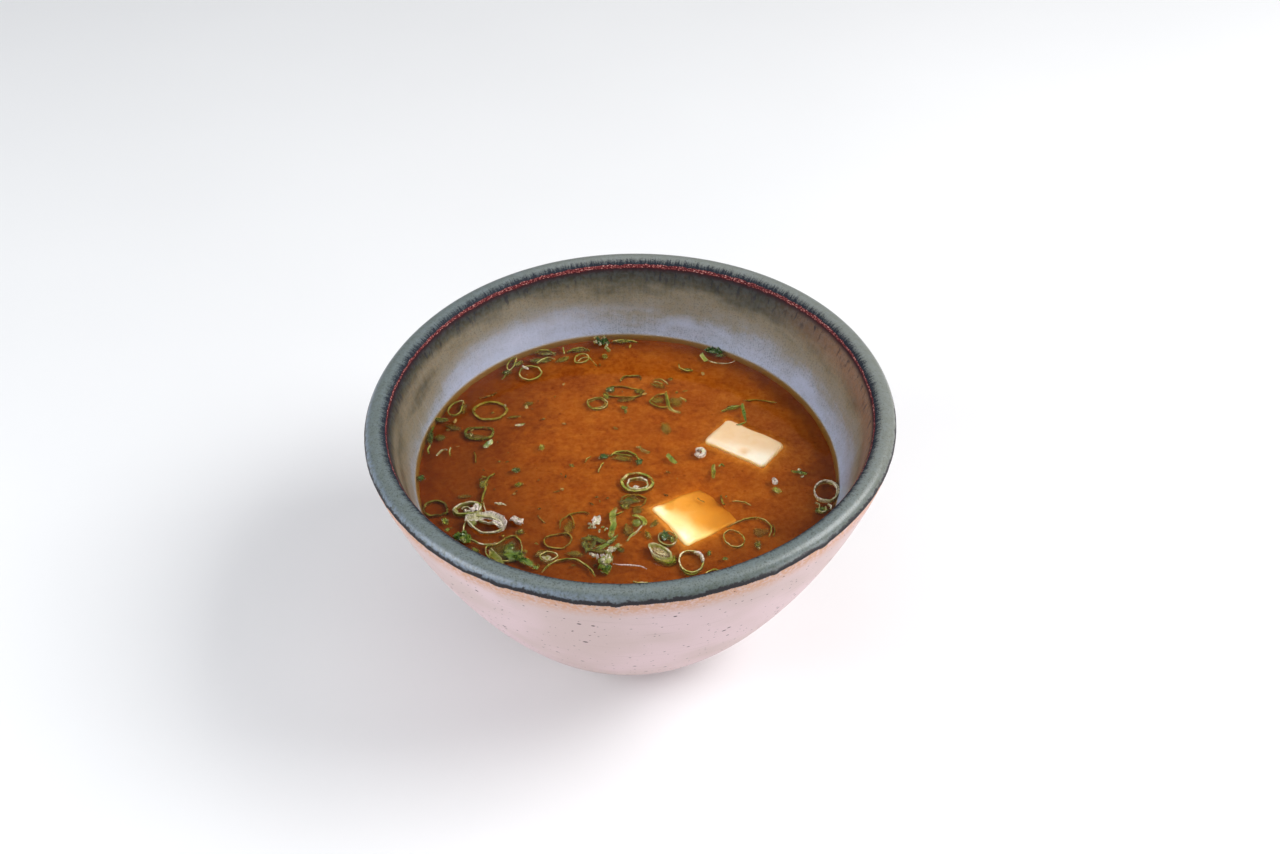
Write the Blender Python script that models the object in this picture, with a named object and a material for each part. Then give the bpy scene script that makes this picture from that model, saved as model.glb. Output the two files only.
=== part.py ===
"""Miso soup in a hand-thrown stoneware bowl, with two cubes of tofu and rings of scallion.

Lengths are in metres and +Z is up. The origin is the centre of the bowl's foot, on the table.
"""

import math
from typing import NamedTuple

import bmesh
import bpy
from mathutils import Matrix, Vector

# Bowl: the lip is a round bead, and the walls leave it with the slopes given here.
RIM_RADIUS = 0.0650
LIP_HEIGHT = 0.0676
LIP_BEAD = 0.00295
OUTER_SLOPE = math.radians(14.8)
INNER_SLOPE = math.radians(22.0)
OUTER_REACH = 0.0233
INNER_REACH = 0.0073
BELLY_SLOPE = math.radians(23.5)
BELLY_REACH = 0.0166
FLOOR_HEIGHT = 0.0072
FLOOR_REACH = 0.0470

# Foot: a low turned ring round a shallow hollow.
FOOT_RADIUS = 0.0247
FOOT_HEIGHT = 0.00175
FOOT_WIDTH = 0.0042
FOOT_HOLLOW = 0.0019
FOOT_EDGE = 0.0006

# Hand throwing: the rim stands higher on the +X side and is slightly out of round.
RIM_LEAN = 0.034
OUT_OF_ROUND = 0.0030
LOBES = ((3, 0.6, 1.0), (5, 2.1, 0.6))

# Soup
SOUP_LEVEL = 0.0502
SOUP_GAP = 0.0003

# Fineness of the faceted solids.
TURNED_SIDES = 64
WALL_STEPS = 11
LIP_STEPS = 7
RING_SIDES = 16

# Tofu: each pocket in the soup is open above its block, as far up as POCKET_RISE.
TOFU_HEIGHT = 0.0120
TOFU_EDGE = 0.0009
POCKET_RISE = 0.0060

TURN = 2.0 * math.pi


class Tofu(NamedTuple):
    """A cut block: its top's length and width, the place of the top's centre, and how it lies."""

    name: str
    length: float
    width: float
    top: tuple
    heading: float
    dip: float
    skew: float


class Ring(NamedTuple):
    """A slice of scallion: its oval outer size, wall and height, its middle, and how it lies."""

    name: str
    length: float
    width: float
    wall: float
    height: float
    middle: tuple
    heading: float
    dip_towards: float
    dip: float


TOFU = (
    Tofu("tofu_back", 0.0177, 0.0110, (0.0297, 0.0087, 0.0511), -33.5, 1.5, 0.03),
    Tofu("tofu_front", 0.0160, 0.0150, (0.0160, -0.0176, 0.0493), -57.5, 8.0, -0.05),
)

RINGS = (
    Ring("scallion_ring_left", 0.0109, 0.0086, 0.0012, 0.0030, (-0.0347, -0.0230, 0.0504), 2.0, -90.0, 14.0),
    Ring("scallion_ring_left_small", 0.0068, 0.0055, 0.0009, 0.0022, (-0.0397, -0.0160, 0.0502), 25.0, -60.0, 12.0),
    Ring("scallion_ring_centre", 0.0084, 0.0072, 0.0009, 0.0024, (0.0019, -0.0072, 0.0500), 10.0, -120.0, 8.0),
    Ring("scallion_ring_front", 0.0080, 0.0058, 0.0011, 0.0024, (0.0083, -0.0315, 0.0502), -42.0, 130.0, 18.0),
    Ring("scallion_ring_front_right", 0.0078, 0.0062, 0.0009, 0.0022, (0.0154, -0.0345, 0.0502), 95.0, 60.0, 10.0),
    Ring("scallion_ring_right", 0.0080, 0.0066, 0.0010, 0.0024, (0.0484, -0.0088, 0.0504), 80.0, 180.0, 12.0),
)


def bezier(start, start_handle, end_handle, end, steps):
    """Return steps + 1 points of a cubic curve from start to end."""
    points = []
    for index in range(steps + 1):
        t = index / steps
        weights = ((1 - t) ** 3, 3 * t * (1 - t) ** 2, 3 * t * t * (1 - t), t**3)
        corners = (start, start_handle, end_handle, end)
        radius = sum(w * p[0] for w, p in zip(weights, corners))
        height = sum(w * p[1] for w, p in zip(weights, corners))
        points.append((radius, height))
    return points


def arc(centre, radius, first, last, steps):
    """Return steps + 1 points of an arc between two angles."""
    angles = [first + (last - first) * index / steps for index in range(steps + 1)]
    return [(centre[0] + radius * math.cos(a), centre[1] + radius * math.sin(a)) for a in angles]


def outer_wall():
    """Return the outside of the bowl, as (radius, height) points from the lip down to the foot."""
    bead = (RIM_RADIUS - LIP_BEAD, LIP_HEIGHT)
    start = (bead[0] + LIP_BEAD * math.cos(OUTER_SLOPE), bead[1] - LIP_BEAD * math.sin(OUTER_SLOPE))
    start_handle = (
        start[0] - OUTER_REACH * math.sin(OUTER_SLOPE),
        start[1] - OUTER_REACH * math.cos(OUTER_SLOPE),
    )
    end = (FOOT_RADIUS, FOOT_HEIGHT)
    end_handle = (
        end[0] + BELLY_REACH * math.cos(BELLY_SLOPE),
        end[1] + BELLY_REACH * math.sin(BELLY_SLOPE),
    )
    return bezier(start, start_handle, end_handle, end, WALL_STEPS)


def inner_wall():
    """Return the inside of the bowl, as (radius, height) points from the lip to the floor's centre."""
    bead = (RIM_RADIUS - LIP_BEAD, LIP_HEIGHT)
    start = (bead[0] - LIP_BEAD * math.cos(INNER_SLOPE), bead[1] + LIP_BEAD * math.sin(INNER_SLOPE))
    start_handle = (
        start[0] - INNER_REACH * math.sin(INNER_SLOPE),
        start[1] - INNER_REACH * math.cos(INNER_SLOPE),
    )
    return bezier(start, start_handle, (FLOOR_REACH, FLOOR_HEIGHT), (0.0, FLOOR_HEIGHT), WALL_STEPS)


def foot_outline():
    """Return the underside, from the centre of the foot's hollow out to the foot's outer corner."""
    inside = FOOT_RADIUS - FOOT_WIDTH
    return [
        (0.0, FOOT_HOLLOW),
        (inside - 2 * FOOT_EDGE, FOOT_HOLLOW),
        (inside, FOOT_HOLLOW - FOOT_EDGE),
        (inside + FOOT_EDGE, 0.0),
        (FOOT_RADIUS - 2 * FOOT_EDGE, 0.0),
        (FOOT_RADIUS - FOOT_EDGE / 2, FOOT_EDGE),
    ]


def bowl_outline():
    """Return the bowl's whole section, from under its centre round the lip to its floor."""
    bead = (RIM_RADIUS - LIP_BEAD, LIP_HEIGHT)
    lip = arc(bead, LIP_BEAD, -OUTER_SLOPE, math.pi - INNER_SLOPE, LIP_STEPS)
    return foot_outline() + outer_wall()[::-1] + lip[1:-1] + inner_wall()


def soup_outline():
    """Return the soup's section, a gap inside the bowl, from above its level to its bottom."""
    wall = inner_wall()
    points = []
    for index, (radius, height) in enumerate(wall):
        before = Vector(wall[max(index - 1, 0)])
        after = Vector(wall[min(index + 1, len(wall) - 1)])
        along = (after - before).normalized()
        if index == len(wall) - 1:
            along = Vector((-1.0, 0.0))
        points.append((radius + along.y * SOUP_GAP, height - along.x * SOUP_GAP))
    points[-1] = (0.0, points[-1][1])
    return [(0.0, points[0][1])] + points


def thrown(point):
    """Return a point of a true turned shape, moved to where the potter's hand left it."""
    height = point.z / LIP_HEIGHT
    angle = math.atan2(point.y, point.x)
    swell = sum(share * math.cos(count * angle + phase) for count, phase, share in LOBES)
    scale = 1.0 + OUT_OF_ROUND * height * swell
    return Vector((point.x * scale, point.y * scale, point.z + RIM_LEAN * point.x * height**2))


def material(name, colour, roughness):
    """Return a Principled material of one colour."""
    made = bpy.data.materials.new(name)
    made.use_nodes = True
    shader = made.node_tree.nodes["Principled BSDF"]
    shader.inputs["Base Color"].default_value = (*colour, 1.0)
    shader.inputs["Roughness"].default_value = roughness
    shader.inputs["Metallic"].default_value = 0.0
    return made


def add_object(name, mesh, finish):
    """Turn a bmesh into an object of the scene with its material."""
    data = bpy.data.meshes.new(name)
    mesh.to_mesh(data)
    mesh.free()
    data.materials.append(finish)
    made = bpy.data.objects.new(name, data)
    bpy.context.scene.collection.objects.link(made)
    return made


def shade_round(made, crease):
    """Shade an object smooth, apart from edges sharper than the crease angle."""
    made.data.shade_smooth()
    made.data.set_sharp_from_angle(angle=math.radians(crease))


def turned(outline):
    """Return a closed bmesh, turned from a section that starts and ends on the axis."""
    mesh = bmesh.new()
    corners = [mesh.verts.new((radius, 0.0, height)) for radius, height in outline]
    edges = [mesh.edges.new(pair) for pair in zip(corners, corners[1:])]
    bmesh.ops.spin(
        mesh,
        geom=corners + edges,
        cent=(0.0, 0.0, 0.0),
        axis=(0.0, 0.0, 1.0),
        angle=TURN,
        steps=TURNED_SIDES,
        use_merge=True,
    )
    bmesh.ops.remove_doubles(mesh, verts=mesh.verts, dist=1e-6)
    bmesh.ops.recalc_face_normals(mesh, faces=mesh.faces)
    for corner in mesh.verts:
        corner.co = thrown(corner.co)
    return mesh


def make_bowl():
    """Make the bowl."""
    clay = material("glazed_stoneware", (0.36, 0.36, 0.34), 0.45)
    made = add_object("bowl", turned(bowl_outline()), clay)
    shade_round(made, 40.0)
    return made


def make_soup():
    """Make the soup, as deep as the bowl and cut off level at its surface."""
    mesh = turned(soup_outline())
    cut = bmesh.ops.bisect_plane(
        mesh,
        geom=mesh.verts[:] + mesh.edges[:] + mesh.faces[:],
        dist=1e-7,
        plane_co=(0.0, 0.0, SOUP_LEVEL),
        plane_no=(0.0, 0.0, 1.0),
        clear_outer=True,
    )
    rim = [part for part in cut["geom_cut"] if isinstance(part, bmesh.types.BMEdge)]
    bmesh.ops.contextual_create(mesh, geom=rim)
    bmesh.ops.recalc_face_normals(mesh, faces=mesh.faces)
    broth = material("miso_broth", (0.34, 0.10, 0.015), 0.15)
    made = add_object("soup", mesh, broth)
    shade_round(made, 40.0)
    return made


def placed(mesh, middle, heading, dip_towards, dip):
    """Turn a bmesh about Z, dip its side that faces one direction, and move it to its place."""
    across = math.radians(dip_towards)
    dip_axis = Vector((-math.sin(across), math.cos(across), 0.0))
    tip = Matrix.Rotation(math.radians(dip), 4, dip_axis)
    spin = Matrix.Rotation(math.radians(heading), 4, "Z")
    bmesh.ops.transform(mesh, matrix=Matrix.Translation(middle) @ tip @ spin, verts=mesh.verts)
    return mesh


def tofu_mesh(block, grow, rise):
    """Return a block of tofu with softened edges, larger by grow on each side and raised by rise."""
    mesh = bmesh.new()
    bmesh.ops.create_cube(mesh, size=1.0)
    size = Vector((block.length + 2 * grow, block.width + 2 * grow, TOFU_HEIGHT + 2 * grow + rise))
    bmesh.ops.scale(mesh, vec=size, verts=mesh.verts)
    bmesh.ops.translate(mesh, vec=(0.0, 0.0, (rise - TOFU_HEIGHT) / 2), verts=mesh.verts)
    for corner in mesh.verts:
        corner.co.x += block.skew * corner.co.y
    bmesh.ops.bevel(
        mesh,
        geom=mesh.edges[:],
        offset=TOFU_EDGE,
        affect="EDGES",
        segments=2,
        profile=0.5,
        material=-1,
    )
    return placed(mesh, block.top, block.heading, block.heading + 90.0, block.dip)


def ring_mesh(ring, grow):
    """Return an oval slice of scallion, larger by grow on each side, its wall's edges rounded."""
    mesh = bmesh.new()
    half_wall = ring.wall / 2 + grow
    half_height = ring.height / 2 + grow
    middle = (ring.length - ring.wall) / 2
    section = [
        (-half_wall, -half_height / 2),
        (0.0, -half_height),
        (half_wall, -half_height / 2),
        (half_wall, half_height / 2),
        (0.0, half_height),
        (-half_wall, half_height / 2),
    ]
    corners = [mesh.verts.new((middle + across, 0.0, up)) for across, up in section]
    edges = [mesh.edges.new((corners[i - 1], corners[i])) for i in range(len(corners))]
    bmesh.ops.spin(
        mesh,
        geom=corners + edges,
        cent=(0.0, 0.0, 0.0),
        axis=(0.0, 0.0, 1.0),
        angle=TURN,
        steps=RING_SIDES,
        use_merge=True,
    )
    bmesh.ops.remove_doubles(mesh, verts=mesh.verts, dist=1e-6)
    narrow = ring.width / ring.length
    for corner in mesh.verts:
        distance = math.hypot(corner.co.x, corner.co.y)
        oval = (distance - middle * (1.0 - narrow)) / distance
        corner.co.y *= oval
    bmesh.ops.recalc_face_normals(mesh, faces=mesh.faces)
    return placed(mesh, ring.middle, ring.heading, ring.dip_towards, ring.dip)


def cut_from(soup, name, mesh):
    """Cut a shape out of the soup with a hidden cutter."""
    cutter = add_object(name, mesh, soup.data.materials[0])
    cutter.hide_render = True
    cutter.display_type = "WIRE"
    cut = soup.modifiers.new(name, "BOOLEAN")
    cut.operation = "DIFFERENCE"
    cut.solver = "EXACT"
    cut.object = cutter


def make_tofu(soup):
    """Make the blocks of tofu, each in a pocket of the soup."""
    curd = material("tofu", (0.89, 0.66, 0.36), 0.5)
    for block in TOFU:
        made = add_object(block.name, tofu_mesh(block, 0.0, 0.0), curd)
        shade_round(made, 30.0)
        cut_from(soup, block.name + "_pocket", tofu_mesh(block, SOUP_GAP, POCKET_RISE))


def make_scallions(soup):
    """Make the floating rings of scallion, each in a groove of the soup."""
    leaf = material("scallion", (0.42, 0.46, 0.20), 0.35)
    for ring in RINGS:
        made = add_object(ring.name, ring_mesh(ring, 0.0), leaf)
        shade_round(made, 50.0)
        cut_from(soup, ring.name + "_groove", ring_mesh(ring, SOUP_GAP))


def main():
    """Clear the scene and make the part."""
    for old in list(bpy.data.objects):
        bpy.data.objects.remove(old, do_unlink=True)
    make_bowl()
    soup = make_soup()
    make_tofu(soup)
    make_scallions(soup)


main()
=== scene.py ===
"""Looks of a bowl of miso soup: thrown stoneware, cloudy broth, tofu and sliced scallion.

Lengths are in metres and +Z is up, as in the frame. The origin is under the middle of the bowl's foot.
Patterns in the finishes are laid out in millimetres, which is what their sizes are given in.
"""

import logging
import math
import random
from collections.abc import Callable
from dataclasses import dataclass
from enum import Enum

import bmesh
import bpy
from mathutils import Matrix, Vector, noise


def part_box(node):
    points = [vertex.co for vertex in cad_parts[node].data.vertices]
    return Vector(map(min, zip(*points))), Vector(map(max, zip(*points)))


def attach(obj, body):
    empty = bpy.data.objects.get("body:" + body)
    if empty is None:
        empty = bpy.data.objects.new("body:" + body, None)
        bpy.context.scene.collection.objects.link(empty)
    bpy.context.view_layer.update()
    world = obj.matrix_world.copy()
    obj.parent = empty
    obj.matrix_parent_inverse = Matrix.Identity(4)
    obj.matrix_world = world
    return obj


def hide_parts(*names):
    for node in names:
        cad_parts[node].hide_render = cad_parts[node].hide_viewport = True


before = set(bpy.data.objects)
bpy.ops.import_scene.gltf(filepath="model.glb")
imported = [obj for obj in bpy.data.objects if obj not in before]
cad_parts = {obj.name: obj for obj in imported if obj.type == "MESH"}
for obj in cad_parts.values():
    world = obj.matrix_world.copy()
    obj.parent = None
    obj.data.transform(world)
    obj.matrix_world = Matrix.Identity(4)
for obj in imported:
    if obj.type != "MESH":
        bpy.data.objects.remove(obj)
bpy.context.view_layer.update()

BODY = "root"

MM = 0.001
TURN = 2.0 * math.pi
UP = Vector((0.0, 0.0, 1.0))

LOG = logging.getLogger("miso_soup")

Colour = tuple[float, float, float]
Point = tuple[float, float]


def linear(red: int, green: int, blue: int) -> Colour:
    """Return a colour, given by its screen values from 0 to 255, as linear light.

    Args:
        red: the screen value of red.
        green: the screen value of green.
        blue: the screen value of blue.

    Returns:
        The three linear values.
    """
    shares = (red / 255.0, green / 255.0, blue / 255.0)
    return tuple(s / 12.92 if s <= 0.04045 else ((s + 0.055) / 1.055) ** 2.4 for s in shares)


def smooth(value: float, low: float, high: float) -> float:
    """Return 0 below low, 1 above high, and a soft step between them."""
    share = min(1.0, max(0.0, (value - low) / (high - low)))
    return share * share * (3.0 - 2.0 * share)


def middle_of(node: str) -> Vector:
    """Return the middle of a frame node's box."""
    low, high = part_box(node)
    return (low + high) / 2.0


def merge_into(target: bmesh.types.BMesh, source: bmesh.types.BMesh) -> None:
    """Add one bmesh to another, and free it.

    Args:
        target: the mesh that grows.
        source: the mesh that is added and freed.
    """
    carrier = bpy.data.meshes.new("carrier")
    source.to_mesh(carrier)
    source.free()
    target.from_mesh(carrier)
    bpy.data.meshes.remove(carrier)


def finished_piece(
    name: str,
    mesh: bmesh.types.BMesh,
    finish: bpy.types.Material,
    replaces: tuple[str, ...] = (),
    crease: float = 60.0,
) -> bpy.types.Object:
    """Turn a bmesh into a piece of the object.

    Args:
        name: the piece's name.
        mesh: its shape, already in place. It is freed.
        finish: its material.
        replaces: the frame nodes that it stands for.
        crease: the angle in degrees past which an edge stays sharp.

    Returns:
        The piece, which rides on the part's body.
    """
    data = bpy.data.meshes.new(name)
    mesh.to_mesh(data)
    mesh.free()
    data.materials.append(finish)
    data.shade_smooth()
    data.set_sharp_from_angle(angle=math.radians(crease))
    piece = bpy.data.objects.new(name, data)
    bpy.context.scene.collection.objects.link(piece)
    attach(piece, BODY)
    if replaces:
        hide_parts(*replaces)
    LOG.info("%s: %d faces", name, len(data.polygons))
    return piece


class Graph:
    """A node tree, with short calls for the nodes that the finishes use."""

    def __init__(self, tree: bpy.types.NodeTree) -> None:
        """Keep the tree that the nodes go into."""
        self.tree = tree

    def node(self, kind: str, feeds: dict | None = None, **settings: object) -> bpy.types.Node:
        """Place a node.

        Args:
            kind: Blender's name of the node's type.
            feeds: values or sockets for its inputs, by name or number.
            **settings: properties of the node itself.

        Returns:
            The node.
        """
        made = self.tree.nodes.new(kind)
        for name, value in settings.items():
            setattr(made, name, value)
        for key, value in (feeds or {}).items():
            self.feed(made.inputs[key], value)
        return made

    def feed(self, socket: bpy.types.NodeSocket, value: object) -> None:
        """Join a socket to an input, or set the input's own value."""
        if isinstance(value, bpy.types.NodeSocket):
            self.tree.links.new(value, socket)
        elif isinstance(value, tuple) and len(value) == 3 and socket.type == "RGBA":
            socket.default_value = (*value, 1.0)
        else:
            socket.default_value = value

    def millimetres(self) -> bpy.types.NodeSocket:
        """Return the piece's own coordinates in millimetres."""
        place = self.node("ShaderNodeTexCoord").outputs["Object"]
        return self.vector("SCALE", place, Scale=1.0 / MM)

    def attribute(self, name: str) -> bpy.types.NodeSocket:
        """Return a number that the piece's vertices carry."""
        return self.node("ShaderNodeAttribute", attribute_name=name).outputs["Fac"]

    def vector(self, operation: str, first: object, second: object = None, **feeds: object) -> bpy.types.NodeSocket:
        """Return the result of a vector operation."""
        made = self.node("ShaderNodeVectorMath", {0: first}, operation=operation)
        if second is not None:
            self.feed(made.inputs[1], second)
        for key, value in feeds.items():
            self.feed(made.inputs[key], value)
        return made.outputs["Value" if operation in ("LENGTH", "DOT_PRODUCT") else "Vector"]

    def math(self, operation: str, first: object, second: object = 0.0, clamp: bool = False) -> bpy.types.NodeSocket:
        """Return the result of an arithmetic operation on two numbers."""
        made = self.node("ShaderNodeMath", {0: first, 1: second}, operation=operation, use_clamp=clamp)
        return made.outputs[0]

    def step(self, value: object, low: object, high: object) -> bpy.types.NodeSocket:
        """Return a soft step from 0 at low to 1 at high."""
        feeds = {"Value": value, "From Min": low, "From Max": high}
        return self.node("ShaderNodeMapRange", feeds, interpolation_type="SMOOTHSTEP").outputs[0]

    def spread(self, value: object, low: float, high: float) -> bpy.types.NodeSocket:
        """Return a value from 0 to 1 spread over another range."""
        return self.node("ShaderNodeMapRange", {"Value": value, "To Min": low, "To Max": high}).outputs[0]

    def noise(self, place: object, size: float, detail: float = 2.0, rough: float = 0.5) -> bpy.types.NodeSocket:
        """Return smooth noise whose lumps are about size millimetres across."""
        feeds = {"Vector": place, "Scale": 1.0 / size, "Detail": detail, "Roughness": rough}
        return self.node("ShaderNodeTexNoise", feeds).outputs[0]

    def mix(self, share: object, first: object, second: object, blend: str = "MIX") -> bpy.types.NodeSocket:
        """Return two colours mixed."""
        made = self.node("ShaderNodeMix", data_type="RGBA", blend_type=blend)
        for socket, value in ((made.inputs[0], share), (made.inputs[6], first), (made.inputs[7], second)):
            self.feed(socket, value)
        return made.outputs[2]

    def ramp(self, value: object, stops: tuple[tuple[float, Colour], ...]) -> bpy.types.NodeSocket:
        """Return the colour of a ramp at a value.

        Args:
            value: where on the ramp.
            stops: places on it, in the value's own units, each with its colour.

        Returns:
            The colour socket.
        """
        low, high = stops[0][0], stops[-1][0]
        share = self.node("ShaderNodeMapRange", {"Value": value, "From Min": low, "From Max": high}).outputs[0]
        made = self.node("ShaderNodeValToRGB", {"Fac": share})
        elements = made.color_ramp.elements
        for index, (place, colour) in enumerate(stops):
            where = (place - low) / (high - low)
            if index == 0:
                element = elements[0]
            elif index == len(stops) - 1:
                element = elements[-1]
            else:
                element = elements.new(where)
            element.position = where
            element.color = (*colour, 1.0)
        return made.outputs["Color"]

    def group(self, tree: bpy.types.NodeTree, feeds: dict) -> bpy.types.Node:
        """Place a node group with its own values."""
        made = self.tree.nodes.new("ShaderNodeGroup")
        made.node_tree = tree
        for key, value in feeds.items():
            self.feed(made.inputs[key], value)
        return made

    def bump(self, height: object, depth: float, strength: float = 1.0) -> bpy.types.NodeSocket:
        """Return a normal for relief whose height goes from 0 to 1 over depth millimetres."""
        feeds = {"Height": height, "Distance": depth * MM, "Strength": strength}
        return self.node("ShaderNodeBump", feeds).outputs["Normal"]


class Effects:
    """Node groups that more than one finish uses. Each is built once."""

    def __init__(self) -> None:
        """Build the groups."""
        self.specks = self._specks()
        self.mottle = self._mottle()
        self.streaks = self._streaks()

    @staticmethod
    def _group(name: str, feeds: tuple[tuple[str, str, float], ...], gives: tuple[str, ...]) -> tuple:
        """Start a group.

        Args:
            name: the group's name.
            feeds: its inputs, each a name, a kind and a starting value.
            gives: the names of its outputs, all numbers.

        Returns:
            The group's tree, its graph, its inputs' sockets by name, and its output node.
        """
        tree = bpy.data.node_groups.new(name, "ShaderNodeTree")
        for label, kind, start in feeds:
            made = tree.interface.new_socket(name=label, in_out="INPUT", socket_type=kind)
            if kind == "NodeSocketFloat":
                made.default_value = start
        for label in gives:
            tree.interface.new_socket(name=label, in_out="OUTPUT", socket_type="NodeSocketFloat")
        graph = Graph(tree)
        source = graph.node("NodeGroupInput")
        target = graph.node("NodeGroupOutput")
        return tree, graph, source.outputs, target

    def _specks(self) -> bpy.types.NodeTree:
        """Return a group of scattered round specks, of which only a share shows."""
        feeds = (
            ("Place", "NodeSocketVector", 0.0),
            ("Spacing", "NodeSocketFloat", 2.0),
            ("Size", "NodeSocketFloat", 0.15),
            ("Share", "NodeSocketFloat", 0.4),
        )
        tree, graph, given, target = self._group("Specks", feeds, ("Mask",))
        per_mm = graph.math("DIVIDE", 1.0, given["Spacing"])
        cells = graph.node("ShaderNodeTexVoronoi", {"Vector": given["Place"], "Scale": per_mm})
        parts = graph.node("ShaderNodeSeparateColor", {0: cells.outputs["Color"]})
        shown = graph.math("LESS_THAN", parts.outputs[0], given["Share"])
        radius = graph.math("MULTIPLY", given["Size"], graph.spread(parts.outputs[1], 0.35, 1.0))
        inner = graph.math("MULTIPLY", radius, 0.55)
        spot = graph.step(cells.outputs["Distance"], radius, inner)
        graph.feed(target.inputs["Mask"], graph.math("MULTIPLY", spot, shown))
        return tree

    def _mottle(self) -> bpy.types.NodeTree:
        """Return a group of soft clouds with finer clouds in them, from 0 to 1."""
        feeds = (
            ("Place", "NodeSocketVector", 0.0),
            ("Size", "NodeSocketFloat", 3.0),
            ("Contrast", "NodeSocketFloat", 0.5),
        )
        tree, graph, given, target = self._group("Mottle", feeds, ("Value",))
        per_mm = graph.math("DIVIDE", 1.0, given["Size"])
        broad = {"Vector": given["Place"], "Scale": per_mm, "Detail": 4.0, "Roughness": 0.55, "Distortion": 0.4}
        clouds = graph.node("ShaderNodeTexNoise", broad).outputs[0]
        low = graph.math("SUBTRACT", 0.5, graph.math("MULTIPLY", given["Contrast"], 0.5))
        high = graph.math("ADD", 0.5, graph.math("MULTIPLY", given["Contrast"], 0.5))
        graph.feed(target.inputs["Value"], graph.step(clouds, low, high))
        return tree

    def _streaks(self) -> bpy.types.NodeTree:
        """Return a group of streaks that run down a turned wall.

        The noise is laid over the direction round the axis and, stretched, over the height.
        """
        feeds = (
            ("Place", "NodeSocketVector", 0.0),
            ("Width", "NodeSocketFloat", 1.0),
            ("Length", "NodeSocketFloat", 10.0),
            ("Radius", "NodeSocketFloat", 55.0),
        )
        tree, graph, given, target = self._group("Streaks", feeds, ("Value",))
        parts = graph.node("ShaderNodeSeparateXYZ", {0: given["Place"]})
        flat = graph.node("ShaderNodeCombineXYZ", {0: parts.outputs[0], 1: parts.outputs[1]}).outputs[0]
        across = graph.math("DIVIDE", given["Radius"], given["Width"])
        around = graph.vector("SCALE", graph.vector("NORMALIZE", flat), Scale=across)
        down = graph.math("DIVIDE", parts.outputs[2], given["Length"])
        lifted = graph.vector("ADD", around, graph.node("ShaderNodeCombineXYZ", {2: down}).outputs[0])
        feeds = {"Vector": lifted, "Scale": 1.0, "Detail": 3.0, "Roughness": 0.6}
        graph.feed(target.inputs["Value"], graph.node("ShaderNodeTexNoise", feeds).outputs[0])
        return tree


def new_finish(name: str) -> tuple[bpy.types.Material, Graph, bpy.types.Node]:
    """Start a material.

    Args:
        name: the material's name.

    Returns:
        The material, its graph and its Principled shader.
    """
    finish = bpy.data.materials.new(name)
    finish.use_nodes = True
    return finish, Graph(finish.node_tree), finish.node_tree.nodes["Principled BSDF"]


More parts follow.
